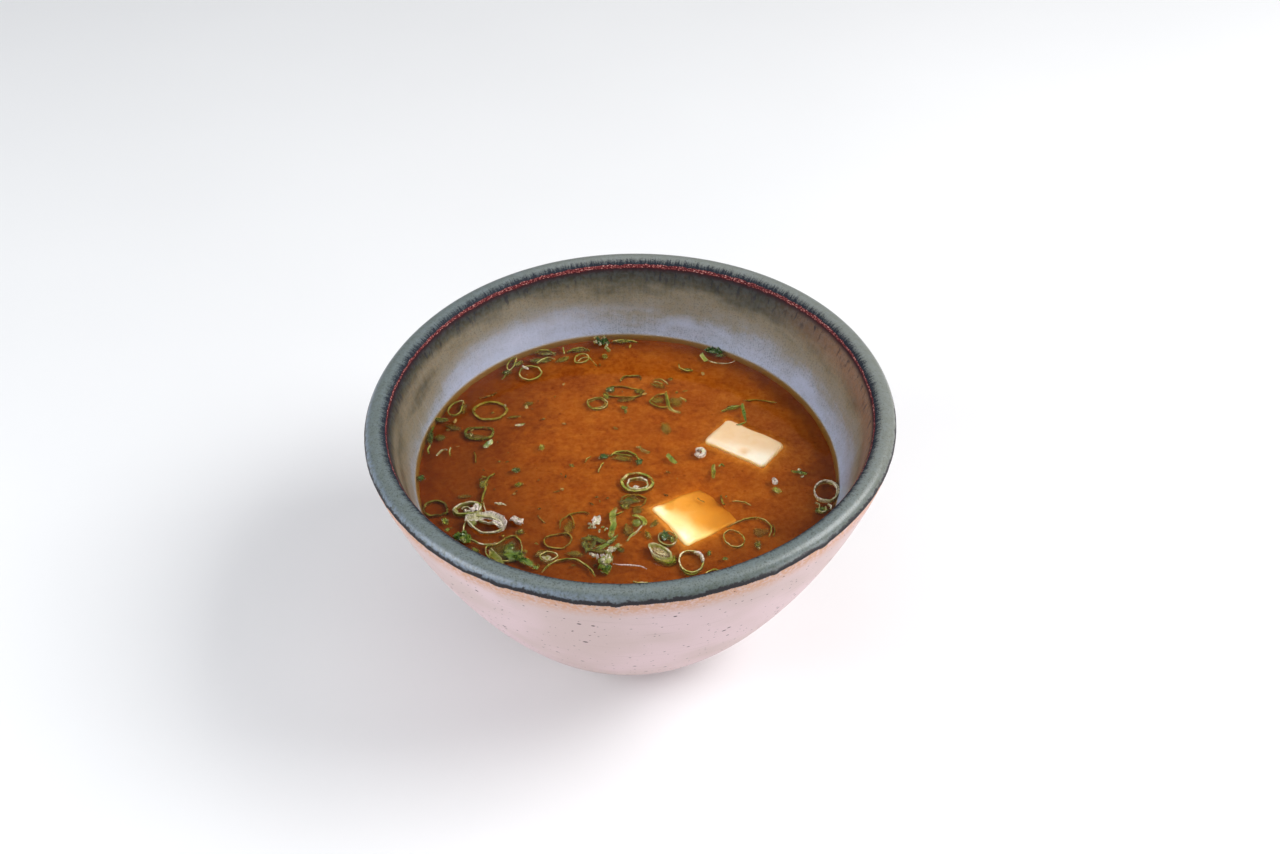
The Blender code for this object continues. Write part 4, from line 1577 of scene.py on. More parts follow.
SLICES = (
    Slice(
        "scallion_ring_left",
        (
            Leaf(
                ((-39.4, -20.6), (-37.0, -19.9), (-33.6, -20.2), (-31.0, -21.6), (-29.8, -23.4), (-31.2, -24.9),
                 (-33.8, -25.6), (-36.2, -25.0), (-38.2, -23.0)),
                closed=True, top=0.9, height=0.6, wall=0.38, tone=0.88, rim=0.1, body=1.0, slope=(0.0, 0.08),
            ),
            Leaf(
                ((-39.6, -20.5), (-37.4, -19.5), (-34.0, -18.9), (-31.2, -20.0), (-29.5, -22.2), (-29.9, -23.8)),
                top=1.5, height=1.4, wall=0.34, tone=1.0, rim=0.2, body=1.0, slide=(-0.3, -1.5), crumple=0.45,
            ),
            Leaf(
                ((-30.6, -20.6), (-31.6, -21.9), (-33.4, -22.4), (-35.2, -21.9), (-36.6, -21.6)),
                top=0.8, height=0.5, wall=0.3, tone=0.75, rim=0.2, body=0.9,
            ),
            Leaf(
                ((-39.0, -20.3), (-40.0, -22.4), (-39.7, -25.0), (-38.2, -27.0), (-36.0, -28.6), (-33.9, -29.0),
                 (-31.6, -28.3)),
                top=0.1, height=0.7, wall=0.26, tone=0.62, rim=0.2,
            ),
            # Partly pale leaf and partly a painted white-pink highlight on the ring's inner side.
            Flake(-31.6, -22.4, 3.6, 1.7, -22.0, top=0.75, thick=0.6, tone=1.15, body=1.0, soft=False),
            Flake(-37.9, -21.6, 2.0, 3.2, 10.0, top=0.2, tone=0.6, body=0.7),
        ),
    ),
    Slice(
        "scallion_ring_left_small",
        (
            Leaf(
                ((-43.0, -17.4), (-41.6, -15.4), (-39.0, -14.3), (-36.9, -14.8), (-36.0, -16.4), (-37.0, -18.2),
                 (-39.5, -18.9), (-41.8, -18.9)),
                closed=True, top=0.5, height=1.6, wall=0.38, tone=0.68, rim=0.2, body=0.9,
            ),
            Leaf(
                ((-41.0, -17.0), (-40.4, -16.1), (-39.3, -16.0), (-38.7, -16.9), (-38.4, -18.3)),
                top=0.3, height=0.9, wall=0.3, tone=0.75,
            ),
            # A painted highlight: the white triangle where the ring's right side catches the light.
            Flake(-37.5, -16.6, 2.7, 1.6, 70.0, top=0.5, thick=0.6, tone=1.2, body=1.0, torn=0.5, soft=False),
            Flake(-39.6, -17.9, 1.4, 0.9, 0.0, top=0.4, thick=0.5, tone=1.0, body=1.0, torn=0.6, soft=False),
            Flake(-42.4, -17.8, 1.8, 1.2, -40.0, top=0.3, thick=0.5, tone=0.8, body=0.9),
        ),
    ),
    Slice(
        "scallion_ring_centre",
        (
            Leaf(hoop(2.2, -6.3, 8.3, 7.2, 0.0, 0.05), closed=True, top=-0.1, height=1.7, wall=0.6, tone=0.42, rim=0.2),
            Leaf(hoop(2.3, -7.2, 5.4, 4.6, 0.0, 0.06), closed=True, top=0.35, height=1.4, wall=0.32, tone=0.78, rim=0.2),
            # A painted glint on the inner ring.
            Flake(1.8, -8.4, 1.4, 0.7, 8.0, top=0.25, thick=0.4, tone=1.1, body=1.0, soft=False),
            Flake(4.0, -8.3, 2.2, 1.3, 20.0, top=-0.4, tone=0.05, body=0.8),
        ),
    ),
    Slice(
        "scallion_ring_front",
        (
            Leaf(
                ((4.9, -28.6), (6.4, -28.2), (8.6, -29.2), (10.1, -30.8), (10.5, -32.6), (9.4, -33.3), (7.4, -32.8),
                 (5.6, -31.3)),
                closed=True, top=0.35, height=1.6, wall=0.4, tone=0.72, rim=0.15, slide=(0.5, -0.9), body=0.9,
            ),
            Leaf(
                ((6.0, -32.0), (7.6, -33.4), (9.6, -34.2), (11.0, -33.6), (11.2, -31.8)),
                top=-0.1, height=1.3, wall=0.5, tone=0.45, rim=0.15, lean=30.0,
            ),
            Flake(7.9, -30.8, 5.4, 2.9, -42.0, top=-0.35, thick=0.25, tone=1.0, body=0.42),
        ),
    ),
    Slice(
        "scallion_ring_front_right",
        (
            Leaf(hoop(15.1, -33.9, 7.4, 6.1, 95.0, 0.04), closed=True, top=0.1, height=1.4, wall=0.32, tone=0.62, rim=0.25),
            Leaf(
                ((15.9, -30.6), (17.3, -31.2), (18.1, -32.8), (18.0, -34.4)),
                top=0.45, height=1.2, wall=0.55, tone=1.0, rim=0.1, body=1.0, crumple=0.3,
            ),
            Leaf(
                ((12.6, -36.0), (13.6, -37.6), (15.2, -38.1), (16.8, -37.4)), top=-0.3, height=0.9, tone=0.4
            ),
        ),
    ),
    Slice(
        "scallion_ring_right",
        (
            Leaf(
                hoop(49.3, -9.2, 7.7, 6.3, 80.0, 0.04),
                closed=True, top=0.6, height=1.3, wall=0.34, tone=0.95, rim=0.1, body=0.45,
            ),
            Leaf(
                ((50.6, -5.9), (51.8, -7.6), (52.0, -9.6), (51.4, -11.4)),
                top=0.9, height=0.9, wall=0.3, tone=1.0, rim=0.1, body=0.6,
            ),
        ),
    ),
)

CUTS = {
    Kind.RINGS: (
        Leaf(hoop(-47.3, -16.2, 6.2, 5.6), closed=True, top=-0.55, wall=0.44, tone=0.1, rim=0.1),
        Leaf(
            ((-33.9, -29.1), (-31.6, -28.3), (-29.4, -26.3), (-27.7, -25.5), (-26.1, -26.9), (-25.4, -29.2),
             (-25.6, -31.8), (-27.4, -33.6), (-30.6, -34.4), (-33.2, -33.0), (-34.2, -31.0)),
            closed=True, top=-0.2, height=1.3, wall=0.26, tone=0.5, rim=0.2, body=0.7,
        ),
        Leaf(
            ((-20.4, -26.5), (-20.1, -28.0), (-18.5, -29.3), (-16.0, -29.5), (-14.3, -28.3), (-13.5, -26.0),
             (-14.6, -24.2), (-17.2, -24.5), (-19.4, -25.2)),
            closed=True, top=-0.7, height=1.0, wall=0.30, tone=0.42, rim=0.2,
        ),
        Leaf(
            ((-20.8, -33.6), (-20.9, -31.9), (-19.4, -30.9), (-17.2, -31.3), (-16.6, -32.3), (-17.8, -33.4),
             (-19.3, -34.4)),
            closed=True, top=-0.15, height=0.9, wall=0.26, tone=0.6, rim=0.2,
        ),
        Leaf(hoop(1.2, -12.4, 6.6, 4.6, 0.0), closed=True, top=-0.9, height=0.8, wall=0.37, tone=0.2, rim=0.15),
        Leaf(
            ((7.2, -25.3), (7.4, -27.0), (8.4, -28.4), (9.9, -28.8), (11.3, -28.0), (11.9, -26.4), (11.4, -24.6),
             (10.0, -23.4), (8.2, -23.9)),
            closed=True, top=0.0, height=1.2, wall=0.26, tone=0.62, rim=0.25, slope=(0.0, -0.12),
        ),
        Leaf(
            ((25.9, -22.9), (27.3, -24.0), (28.2, -25.8), (28.0, -27.6), (26.8, -28.7), (25.3, -28.7), (24.0, -27.6),
             (23.1, -25.9), (23.2, -24.2), (24.3, -22.9)),
            closed=True, top=-0.2, height=0.9, wall=0.18, tone=0.55, rim=0.2, slope=(0.04, -0.05),
        ),
        Leaf(
            ((-43.7, 24.7), (-45.8, 24.1), (-47.2, 22.2), (-47.5, 19.9), (-46.0, 18.7), (-44.3, 19.6), (-43.8, 22.2)),
            closed=True, top=-0.35, height=0.9, wall=0.26, tone=0.45, rim=0.2,
        ),
        Leaf(hoop(-36.5, 20.9, 9.3, 7.6, 5.0, 0.04), closed=True, top=-0.65, height=1.2, wall=0.63, tone=0.38, rim=0.12),
        Leaf(
            ((-42.2, 13.6), (-39.0, 14.4), (-35.4, 14.0), (-34.9, 11.6), (-36.2, 9.8), (-39.4, 9.4), (-42.2, 10.4)),
            closed=True, top=-0.5, height=0.9, wall=0.6, tone=0.15, rim=0.1, body=0.9,
        ),
        Leaf(
            ((-31.0, 43.0), (-32.4, 42.0), (-33.2, 39.4), (-32.6, 37.2), (-31.4, 38.8), (-30.7, 41.6)),
            closed=True, top=-0.2, height=0.8, wall=0.22, tone=0.45, rim=0.25,
        ),
        Leaf(
            ((-29.8, 36.2), (-29.2, 38.3), (-27.4, 39.4), (-24.8, 38.9), (-23.6, 36.8), (-24.4, 34.7), (-26.8, 33.4),
             (-28.8, 34.2)),
            closed=True, top=-0.25, height=0.9, wall=0.30, tone=0.5, rim=0.2,
        ),
        Leaf(
            ((-14.9, 41.1), (-14.9, 43.4), (-13.4, 44.9), (-11.8, 44.5), (-11.0, 43.0), (-12.0, 41.4), (-13.5, 40.9)),
            closed=True, top=-0.2, height=0.7, wall=0.21, tone=0.62, rim=0.2,
        ),
        Leaf(hoop(-8.4, 24.2, 5.6, 4.8, 0.0), closed=True, top=-0.35, height=0.9, wall=0.21, tone=0.55, rim=0.2),
        Leaf(hoop(-8.5, 24.3, 4.6, 3.6, 20.0), closed=True, top=-0.6, height=0.6, wall=0.16, tone=0.5),
        Leaf(
            ((-6.2, 29.4), (-5.0, 31.4), (-2.2, 31.7), (0.6, 31.0), (3.4, 29.8), (3.0, 27.8), (0.4, 27.0),
             (-3.0, 27.2), (-5.6, 27.6)),
            closed=True, top=-0.8, height=0.9, wall=0.33, tone=0.25, rim=0.2,
        ),
        Leaf(
            ((5.3, 25.6), (7.0, 27.8), (9.4, 28.5), (10.4, 26.6), (10.4, 23.4), (8.0, 23.0), (6.1, 24.1)),
            closed=True, top=-0.6, height=0.9, wall=0.30, tone=0.4, rim=0.2,
        ),
    ),
    Kind.STRIPS: (
        Leaf(((-36.2, -5.6), (-35.9, -9.0), (-36.4, -12.5), (-36.3, -16.2)), top=-0.5, wall=0.44, tone=0.3, body=0.6),
        Leaf(((-35.9, -14.2), (-35.3, -16.4), (-34.5, -18.4)), top=-0.05, height=0.5, wall=0.18, tone=0.9, rim=0.1),
        Leaf(((-33.9, -3.2), (-35.2, -4.6), (-35.8, -6.6)), top=-0.5, height=0.9, wall=0.37, tone=0.3),
        Leaf(
            ((-16.7, -22.6), (-16.6, -20.0), (-15.0, -18.0), (-13.0, -17.0), (-11.0, -16.7), (-9.4, -17.3)),
            top=-0.75, wall=0.30, tone=0.35, rim=0.2,
        ),
        Leaf(((-14.3, -17.8), (-13.6, -19.6), (-13.3, -22.2)), top=-0.9, wall=0.26, tone=0.4),
        Leaf(((-22.4, -18.0), (-21.4, -19.5), (-20.4, -20.9)), top=-0.9, height=0.6, tone=0.5),
        Leaf(
            ((-20.4, -37.6), (-19.0, -35.4), (-17.3, -33.9), (-15.0, -33.2), (-13.0, -33.1), (-11.2, -33.9),
             (-9.7, -35.3), (-8.4, -37.0), (-7.5, -39.0)),
            top=-0.15, height=1.2, wall=0.28, tone=0.52, rim=0.2,
        ),
        Leaf(((-6.6, -37.2), (-5.3, -38.1), (-4.2, -37.0), (-3.8, -35.4)), top=-0.3, height=0.9, tone=0.42),
        Leaf(
            ((-2.6, -16.0), (-3.0, -18.2), (-2.8, -21.6), (-3.3, -24.6), (-3.9, -26.4)),
            top=0.1, height=1.6, wall=0.30, tone=0.5, rim=0.15, body=1.0, lean=72.0, crumple=0.3,
        ),
        Leaf(((-5.0, -17.6), (-3.2, -17.9), (-1.2, -16.8)), top=-0.35, height=0.8, wall=0.22, tone=0.3),
        Leaf(
            ((0.9, -18.5), (2.4, -18.9), (3.5, -20.2), (3.5, -21.8)),
            top=0.0, height=1.3, wall=0.22, tone=0.5, rim=0.2, lean=-62.0, body=0.85,
        ),
        Leaf(((3.4, -21.9), (2.4, -23.8), (0.7, -25.7), (-0.3, -27.4)), top=0.15, height=0.7, wall=0.30, tone=0.75),
        Leaf(
            ((-32.8, -30.3), (-31.3, -32.0), (-30.1, -33.9), (-29.3, -35.4)),
            top=0.3, height=1.6, wall=0.28, tone=0.62, rim=0.3, lean=60.0, body=1.0, crumple=0.4,
        ),
        # Drawn at a tone past 1, so its colour is partly a painted highlight.
        Leaf(
            ((-3.7, -35.1), (-1.6, -35.4), (0.2, -35.5), (2.0, -35.6), (3.4, -36.0), (4.5, -36.7)),
            top=0.12, height=0.35, wall=0.24, tone=1.25, rim=0.0, body=1.0, crumple=0.08,
        ),
        Leaf(((18.0, -38.2), (18.9, -36.8), (20.8, -36.1), (22.6, -36.8)), top=-0.3, wall=0.26, tone=0.45),
        Leaf(
            ((24.0, -21.9), (26.8, -19.8), (29.8, -18.5), (32.6, -18.7), (34.6, -20.4), (34.9, -22.6), (34.2, -25.2)),
            top=-0.3, height=1.0, wall=0.21, tone=0.48, rim=0.2,
        ),
        Leaf(((35.4, -20.6), (35.8, -22.8), (35.3, -24.8)), top=-0.7, height=0.7, wall=0.18, tone=0.35),
        Leaf(((23.1, -10.4), (23.2, -12.0), (23.9, -13.6)), top=-0.7, height=0.9, wall=0.44, tone=0.1),
        Leaf(((25.6, -12.4), (28.4, -12.7), (30.4, -14.0)), top=-0.5, height=0.6, tone=0.6),
        Leaf(((17.1, -11.6), (17.8, -12.5), (18.8, -13.2)), top=-0.35, height=0.5, wall=0.16, tone=-0.2, rim=0.0),
        Leaf(
            ((10.2, 4.6), (11.2, 3.0), (12.4, 0.9)),
            top=-0.2, height=1.2, wall=0.26, tone=0.32, rim=0.1, lean=65.0, body=0.9,
        ),
        Leaf(((21.8, 0.5), (21.9, -2.2), (21.7, -4.9)), top=-0.05, height=1.0, wall=0.26, tone=0.4, lean=60.0),
        Leaf(((22.7, -0.4), (23.4, 1.0), (24.3, 0.0)), top=-0.1, height=0.6, wall=0.22, tone=0.35),
        Leaf(((43.8, -23.3), (44.7, -22.5), (45.8, -22.1)), top=0.2, height=0.5, wall=0.22, tone=0.8),
        Leaf(
            ((46.0, -13.3), (47.0, -14.0), (46.8, -15.8), (47.6, -16.8), (48.8, -16.0), (48.7, -14.6)),
            top=0.15, height=0.8, wall=0.28, tone=0.7, rim=0.2,
        ),
        Leaf(((49.2, -13.8), (50.2, -14.4), (49.8, -15.8)), top=0.25, height=0.9, wall=0.37, tone=0.75),
        Leaf(((41.0, -1.3), (43.0, -1.6), (45.0, -2.6)), top=-0.2, height=0.8, wall=0.30, tone=0.4, lean=50.0),
        Leaf(((-50.6, 17.6), (-49.0, 17.5), (-47.2, 17.3)), top=-0.4, height=1.2, wall=0.30, tone=0.15, lean=60.0),
        Leaf(((-39.8, 26.4), (-37.4, 27.2), (-35.4, 28.7)), top=-0.9, height=0.7, wall=0.37, tone=0.1),
        Leaf(
            ((-37.4, 6.1), (-36.6, 7.8), (-35.2, 9.1)),
            top=0.0, height=1.3, wall=0.26, tone=0.5, rim=0.25, lean=60.0, body=0.95,
        ),
        Leaf(((-50.8, 6.7), (-51.4, 5.4), (-51.0, 3.4)), top=0.1, height=0.9, wall=0.30, tone=0.6, rim=0.2),
        Leaf(((-50.9, 14.2), (-51.4, 11.6), (-51.1, 8.0)), top=-0.2, height=0.9, wall=0.44, tone=0.0, rim=0.1),
        Leaf(((-49.0, 2.7), (-48.1, 4.6), (-46.9, 5.3), (-46.1, 4.9)), top=0.05, height=0.7, wall=0.30, tone=0.72),
        Leaf(((-45.6, 6.0), (-45.9, 4.2), (-45.5, 2.5)), top=-0.1, height=0.7, wall=0.26, tone=0.62),
        Leaf(((-39.7, 4.9), (-39.1, 3.0), (-38.9, 0.7)), top=-0.9, height=0.6, wall=0.22, tone=0.35),
        Leaf(((-32.6, 37.4), (-33.5, 35.4), (-34.4, 33.9)), top=-0.5, height=0.7, wall=0.30, tone=0.15),
        Leaf(
            ((-26.0, 44.8), (-24.6, 46.3), (-22.6, 46.4), (-21.0, 45.2), (-20.3, 43.8)),
            top=-0.3, height=1.0, wall=0.26, tone=0.4, rim=0.2,
        ),
        Leaf(
            ((-25.4, 40.4), (-23.9, 42.2), (-22.2, 43.0), (-20.2, 42.3)),
            top=-0.05, height=1.1, wall=0.30, tone=0.58, rim=0.2,
        ),
        Leaf(((-18.2, 47.6), (-17.9, 46.2), (-17.8, 44.5)), top=-0.2, height=0.7, wall=0.26, tone=0.5),
        Leaf(
            ((-17.2, 45.3), (-15.8, 47.0), (-13.2, 47.7), (-10.8, 46.4)),
            top=-0.4, height=1.0, wall=0.30, tone=0.25, rim=0.2,
        ),
        Leaf(
            ((-14.6, 41.4), (-13.4, 42.6), (-12.3, 43.4), (-11.0, 43.2), (-9.9, 41.6), (-8.8, 39.4)),
            top=-0.3, height=0.7, wall=0.18, tone=0.6,
        ),
        Leaf(((-6.6, 48.2), (-5.8, 47.2), (-5.2, 45.8)), top=0.05, height=0.9, wall=0.37, tone=0.45, lean=40.0),
        Leaf(((-5.0, 50.3), (-2.4, 51.2), (0.2, 50.9), (2.2, 50.0)), top=-0.15, height=1.0, wall=0.26, tone=0.45),
        Leaf(
            ((-2.7, 33.3), (-1.9, 35.3), (-0.2, 35.9), (2.8, 35.9), (3.1, 34.0)),
            top=-0.5, height=1.1, wall=0.37, tone=0.08, rim=0.15,
        ),
        Leaf(((6.2, 34.2), (8.0, 34.6), (9.7, 33.4), (10.4, 32.0)), top=-0.4, height=0.7, wall=0.22, tone=0.58),
        Leaf(((6.4, 33.4), (7.6, 33.3), (9.0, 32.6)), top=-0.5, height=0.6, wall=0.22, tone=0.5),
        Leaf(
            ((9.9, 29.0), (10.3, 26.8), (10.6, 24.0), (11.3, 22.2), (13.6, 20.7)),
            top=-0.25, height=1.0, wall=0.26, tone=0.42, rim=0.15, lean=50.0,
        ),
        Leaf(((13.3, 26.9), (14.6, 26.2), (15.1, 25.1)), top=-0.3, height=0.6, wall=0.22, tone=0.65),
        Leaf(
            ((-5.0, 3.6), (-3.4, 5.2), (-1.0, 5.6), (1.0, 4.9), (2.4, 3.1), (2.9, 0.9)),
            top=-0.3, height=1.2, wall=0.37, tone=0.3, rim=0.2,
        ),
        Leaf(((-3.9, 4.6), (-1.2, 4.3), (1.0, 3.6)), top=-0.5, height=0.7, wall=0.26, tone=0.25),
        Leaf(((-6.5, 1.2), (-7.4, -0.6), (-7.8, -2.6)), top=-0.4, height=0.8, wall=0.26, tone=0.5),
        Leaf(((-11.3, 1.1), (-10.8, 2.4), (-9.7, 3.6)), top=-0.6, height=0.5, wall=0.18, tone=0.5),
        Leaf(((3.0, 7.6), (3.9, 6.1), (5.5, 5.3)), top=-0.4, height=0.9, wall=0.26, tone=0.32, lean=50.0),
        Leaf(
            ((20.0, 45.4), (20.5, 43.8), (21.4, 42.1)),
            top=0.1, height=1.2, wall=0.30, tone=0.62, rim=0.2, lean=55.0, body=1.0,
        ),
        Leaf(((21.4, 41.9), (23.6, 41.2), (26.4, 41.0), (28.6, 42.3)), top=0.0, height=0.5, wall=0.22, tone=0.85),
        Leaf(((13.4, 41.0), (13.7, 39.4), (15.4, 38.2), (17.1, 38.3)), top=-0.3, height=0.9, wall=0.26, tone=0.4),
        Leaf(
            ((30.0, 24.2), (30.4, 20.4), (30.7, 16.4)),
            top=0.45, height=0.8, wall=0.22, tone=0.3, rim=0.15, lean=60.0, body=0.95, slope=(0.0, -0.07),
        ),
        Leaf(((27.7, 14.8), (29.0, 15.2), (30.4, 16.1)), top=1.0, height=0.4, wall=0.18, tone=0.3, body=1.0),
        Leaf(((24.0, 21.4), (26.2, 22.8), (29.6, 23.9)), top=-0.2, height=0.9, wall=0.26, tone=0.25, lean=40.0),
        Leaf(((30.0, 26.2), (33.2, 26.5), (36.4, 26.2), (39.0, 25.4)), top=-0.7, height=0.9, wall=0.26, tone=0.3),
        Leaf(((1.2, -40.8), (3.2, -41.0), (5.0, -40.9)), top=-0.1, height=0.7, wall=0.30, tone=0.6),
    ),
    Kind.FLAKES: (
        Flake(-29.2, -30.6, 8.0, 6.4, top=-0.9, tone=0.05, body=0.75),
        Flake(-27.4, -32.2, 5.6, 3.6, -20.0, top=-0.1, tone=0.3, body=1.0, torn=0.6),
        Flake(-26.3, -24.0, 2.6, 2.2, 20.0, top=-0.8, tone=0.2),
        Flake(-24.2, -34.4, 5.6, 2.2, -38.0, top=-0.1, tone=0.3, body=1.0, torn=0.6),
        Flake(-28.4, -29.6, 4.4, 2.6, 60.0, top=-0.5, tone=0.1, body=0.9, torn=0.5),
        Flake(-36.6, -30.6, 3.0, 1.6, -50.0, top=-0.6, tone=0.1, body=0.9),
        Flake(-20.6, -31.0, 4.0, 2.2, 30.0, top=-1.0, tone=0.15, body=0.7),
        Flake(-14.6, -22.6, 6.0, 2.4, 80.0, top=-1.1, tone=0.3, body=0.6),
        Flake(-12.6, -31.2, 5.0, 1.8, -10.0, top=-0.9, tone=0.2, body=0.7),
        Flake(-44.6, -20.8, 2.6, 1.8, -60.0, top=-0.3, tone=0.3, body=0.8),
        Flake(-40.6, -11.6, 4.0, 1.4, 10.0, top=-1.1, tone=0.3, body=0.6),
        Flake(6.4, -20.6, 3.0, 1.8, 60.0, top=-0.9, tone=0.2, body=0.7),
        Flake(4.8, -24.6, 3.4, 1.6, 110.0, top=-0.9, tone=0.25, body=0.7),
        Flake(-43.6, 21.6, 2.2, 4.6, 0.0, top=-0.9, tone=0.1, body=0.7),
        Flake(-45.6, 14.2, 5.0, 2.2, -30.0, top=-1.0, tone=0.05, body=0.7),
        Flake(-48.6, 10.0, 3.4, 2.6, 0.0, top=-0.8, tone=0.1, body=0.7),
        Flake(-30.2, 40.6, 3.6, 2.6, 30.0, top=-0.7, tone=0.1, body=0.8),
        Flake(-0.6, 26.4, 5.4, 2.4, 10.0, top=-1.1, tone=0.15, body=0.7),
        Flake(7.8, 32.0, 4.4, 2.0, -20.0, top=-1.1, tone=0.3, body=0.6),
        Flake(7.4, 26.0, 3.4, 3.0, 0.0, top=-1.0, tone=0.3, body=0.6),
        Flake(-1.6, 3.0, 5.4, 2.2, -10.0, top=-1.0, tone=0.15, body=0.7),
        Flake(-41.0, -26.0, 2.8, 2.6, 80.0, top=-0.2, tone=0.2, body=1.0, torn=0.6),
        Flake(-43.8, -24.0, 1.3, 0.9, 0.0, top=0.0, tone=0.45, body=0.9),
        Flake(-21.8, -36.3, 1.7, 1.3, 0.0, top=-0.2, tone=0.35, body=0.9),
        Flake(-7.4, -26.4, 5.4, 1.5, -30.0, top=-0.5, thick=0.2, tone=0.1, body=1.0, torn=0.9),
        Flake(-8.4, -28.0, 4.8, 1.5, 70.0, top=-0.6, thick=0.2, tone=-0.05, body=1.0, torn=0.9),
        Flake(-5.6, -28.6, 5.0, 1.5, 35.0, top=-0.4, thick=0.2, tone=0.2, body=1.0, torn=0.9),
        Flake(-10.2, -28.8, 3.8, 1.4, 100.0, top=-0.5, thick=0.2, tone=0.05, body=1.0, torn=0.9),
        Flake(-7.2, -30.4, 5.2, 1.6, -10.0, top=-0.6, thick=0.2, tone=0.0, body=1.0, torn=0.9),
        Flake(-4.0, -26.8, 4.2, 1.3, 50.0, top=-0.4, thick=0.2, tone=0.25, body=1.0, torn=0.9),
        Flake(-9.6, -26.0, 3.6, 1.3, 10.0, top=-0.6, thick=0.2, tone=0.1, body=1.0, torn=0.9),
        Flake(-2.0, -29.6, 2.8, 1.8, -35.0, top=-0.6, tone=0.15, body=0.8),
        Flake(0.4, -12.8, 5.6, 3.0, 20.0, top=-0.7, tone=0.05, body=0.9, torn=0.8),
        Flake(-0.9, -14.8, 3.0, 2.0, -20.0, top=-0.7, tone=0.1, body=0.8),
        Flake(2.2, -16.0, 3.2, 2.6, 10.0, top=-0.9, tone=0.1, body=0.7),
        Flake(2.0, -20.8, 2.8, 3.0, 0.0, top=-0.35, tone=0.35, body=0.6),
        Flake(0.0, -23.0, 3.0, 4.0, 0.0, top=-0.9, tone=0.1, body=0.6),
        Flake(8.9, -25.4, 2.6, 3.4, 0.0, top=-0.15, thick=0.7, tone=-0.05, body=1.0),
        Flake(8.7, -25.9, 1.2, 1.7, 0.0, top=0.25, thick=0.5, tone=0.35, body=0.8),
        Flake(10.7, -26.2, 1.8, 2.6, 0.0, top=-0.5, tone=0.3, body=0.8),
        Flake(-19.3, -33.2, 2.4, 1.7, 10.0, top=0.0, tone=0.85, body=0.75),
        Flake(19.4, -30.9, 2.2, 1.1, 80.0, top=-0.4, tone=0.2, body=0.95),
        Flake(23.2, -32.7, 1.7, 1.3, 0.0, top=-0.5, tone=0.1, body=0.9),
        Flake(31.4, -27.6, 1.6, 3.4, 0.0, top=-0.7, tone=0.1, body=0.8),
        Flake(32.0, -23.2, 4.0, 3.4, 20.0, top=-1.1, tone=0.1, body=0.6),
        Flake(36.9, -8.6, 3.0, 2.2, -30.0, top=-0.4, tone=0.5, body=0.7),
        Flake(-48.9, 17.0, 3.6, 1.8, 0.0, top=-0.7, tone=-0.05, body=0.9),
        Flake(-38.9, 10.6, 6.4, 1.8, -6.0, top=-0.9, tone=0.0, body=0.9, torn=0.6),
        Flake(-41.2, 11.0, 2.4, 2.2, 0.0, top=-0.7, tone=0.0, body=0.9),
        Flake(-36.4, 7.3, 2.0, 1.4, 40.0, top=-0.1, tone=0.3, body=0.9),
        Flake(-28.4, -2.1, 2.3, 2.1, 0.0, top=-0.4, tone=0.0, body=0.95),
        Flake(-27.4, -7.3, 2.6, 1.7, 20.0, top=-0.6, tone=0.35, body=0.8),
        Flake(-36.2, -7.4, 2.2, 2.6, 0.0, top=-0.7, tone=0.2, body=0.8),
        Flake(-30.0, 18.6, 3.6, 1.2, 5.0, top=-0.8, tone=0.25, body=0.8),
        Flake(-26.6, 24.0, 3.2, 1.8, 20.0, top=-0.9, tone=0.2, body=0.7),
        Flake(-22.3, 6.6, 1.8, 2.7, 0.0, top=-0.6, tone=0.4, body=0.8),
        Flake(-52.0, -5.6, 2.0, 2.4, 0.0, top=-0.2, tone=-0.05, body=0.95),
        Flake(-51.0, 9.8, 1.6, 6.0, 0.0, top=-0.4, tone=0.0, body=0.8),
        Flake(-24.4, 41.9, 6.6, 2.0, 4.0, top=-0.6, tone=0.05, body=0.9),
        Flake(-22.8, 45.0, 5.0, 1.8, 0.0, top=-0.7, tone=0.0, body=0.85),
        Flake(-18.2, 42.6, 4.6, 2.2, 30.0, top=-0.8, tone=0.2, body=0.7),
        Flake(-14.0, 46.6, 5.4, 1.6, 0.0, top=-0.7, tone=0.1, body=0.8),
        Flake(-33.0, 36.6, 2.8, 2.2, 40.0, top=-0.5, tone=0.05, body=0.85),
        Flake(-2.0, 50.4, 6.0, 1.2, 0.0, top=-0.6, tone=0.05, body=0.8),
        Flake(-6.8, 44.0, 2.0, 2.4, 0.0, top=-0.7, tone=0.2, body=0.7),
        Flake(-5.0, 29.8, 2.7, 2.7, 0.0, top=-0.45, tone=0.0, body=0.95),
        Flake(-6.2, 27.2, 1.6, 2.8, 20.0, top=-0.6, tone=0.3, body=0.8),
        Flake(2.6, 29.4, 3.0, 2.4, 0.0, top=-0.8, tone=0.2, body=0.8),
        Flake(12.4, 25.4, 4.4, 4.4, 0.0, top=-0.9, tone=0.35, body=0.5),
        Flake(-1.4, 22.6, 2.2, 1.5, -20.0, top=-0.6, tone=0.2, body=0.85),
        Flake(-1.0, 21.0, 1.0, 2.0, 0.0, top=-0.6, tone=0.25, body=0.85),
        Flake(9.4, 14.8, 2.6, 5.0, 10.0, top=-1.0, tone=0.3, body=0.6),
        Flake(-6.4, 3.2, 3.0, 2.2, 15.0, top=-0.3, tone=-0.1, body=1.0),
        Flake(2.6, 1.4, 1.9, 3.0, -15.0, top=-0.3, tone=0.0, body=0.95),
        Flake(23.0, 46.4, 4.8, 2.4, -10.0, top=-0.2, tone=-0.05, body=0.95),
        Flake(24.6, 44.6, 3.0, 1.2, 0.0, top=-0.4, tone=0.1, body=0.8),
        Flake(15.4, 38.6, 3.4, 1.2, -10.0, top=-0.6, tone=0.15, body=0.8),
        Flake(27.2, 23.4, 3.6, 1.2, 15.0, top=-0.5, tone=0.05, body=0.85),
        Flake(47.6, -15.6, 3.6, 2.2, 0.0, top=-0.4, tone=0.25, body=0.9),
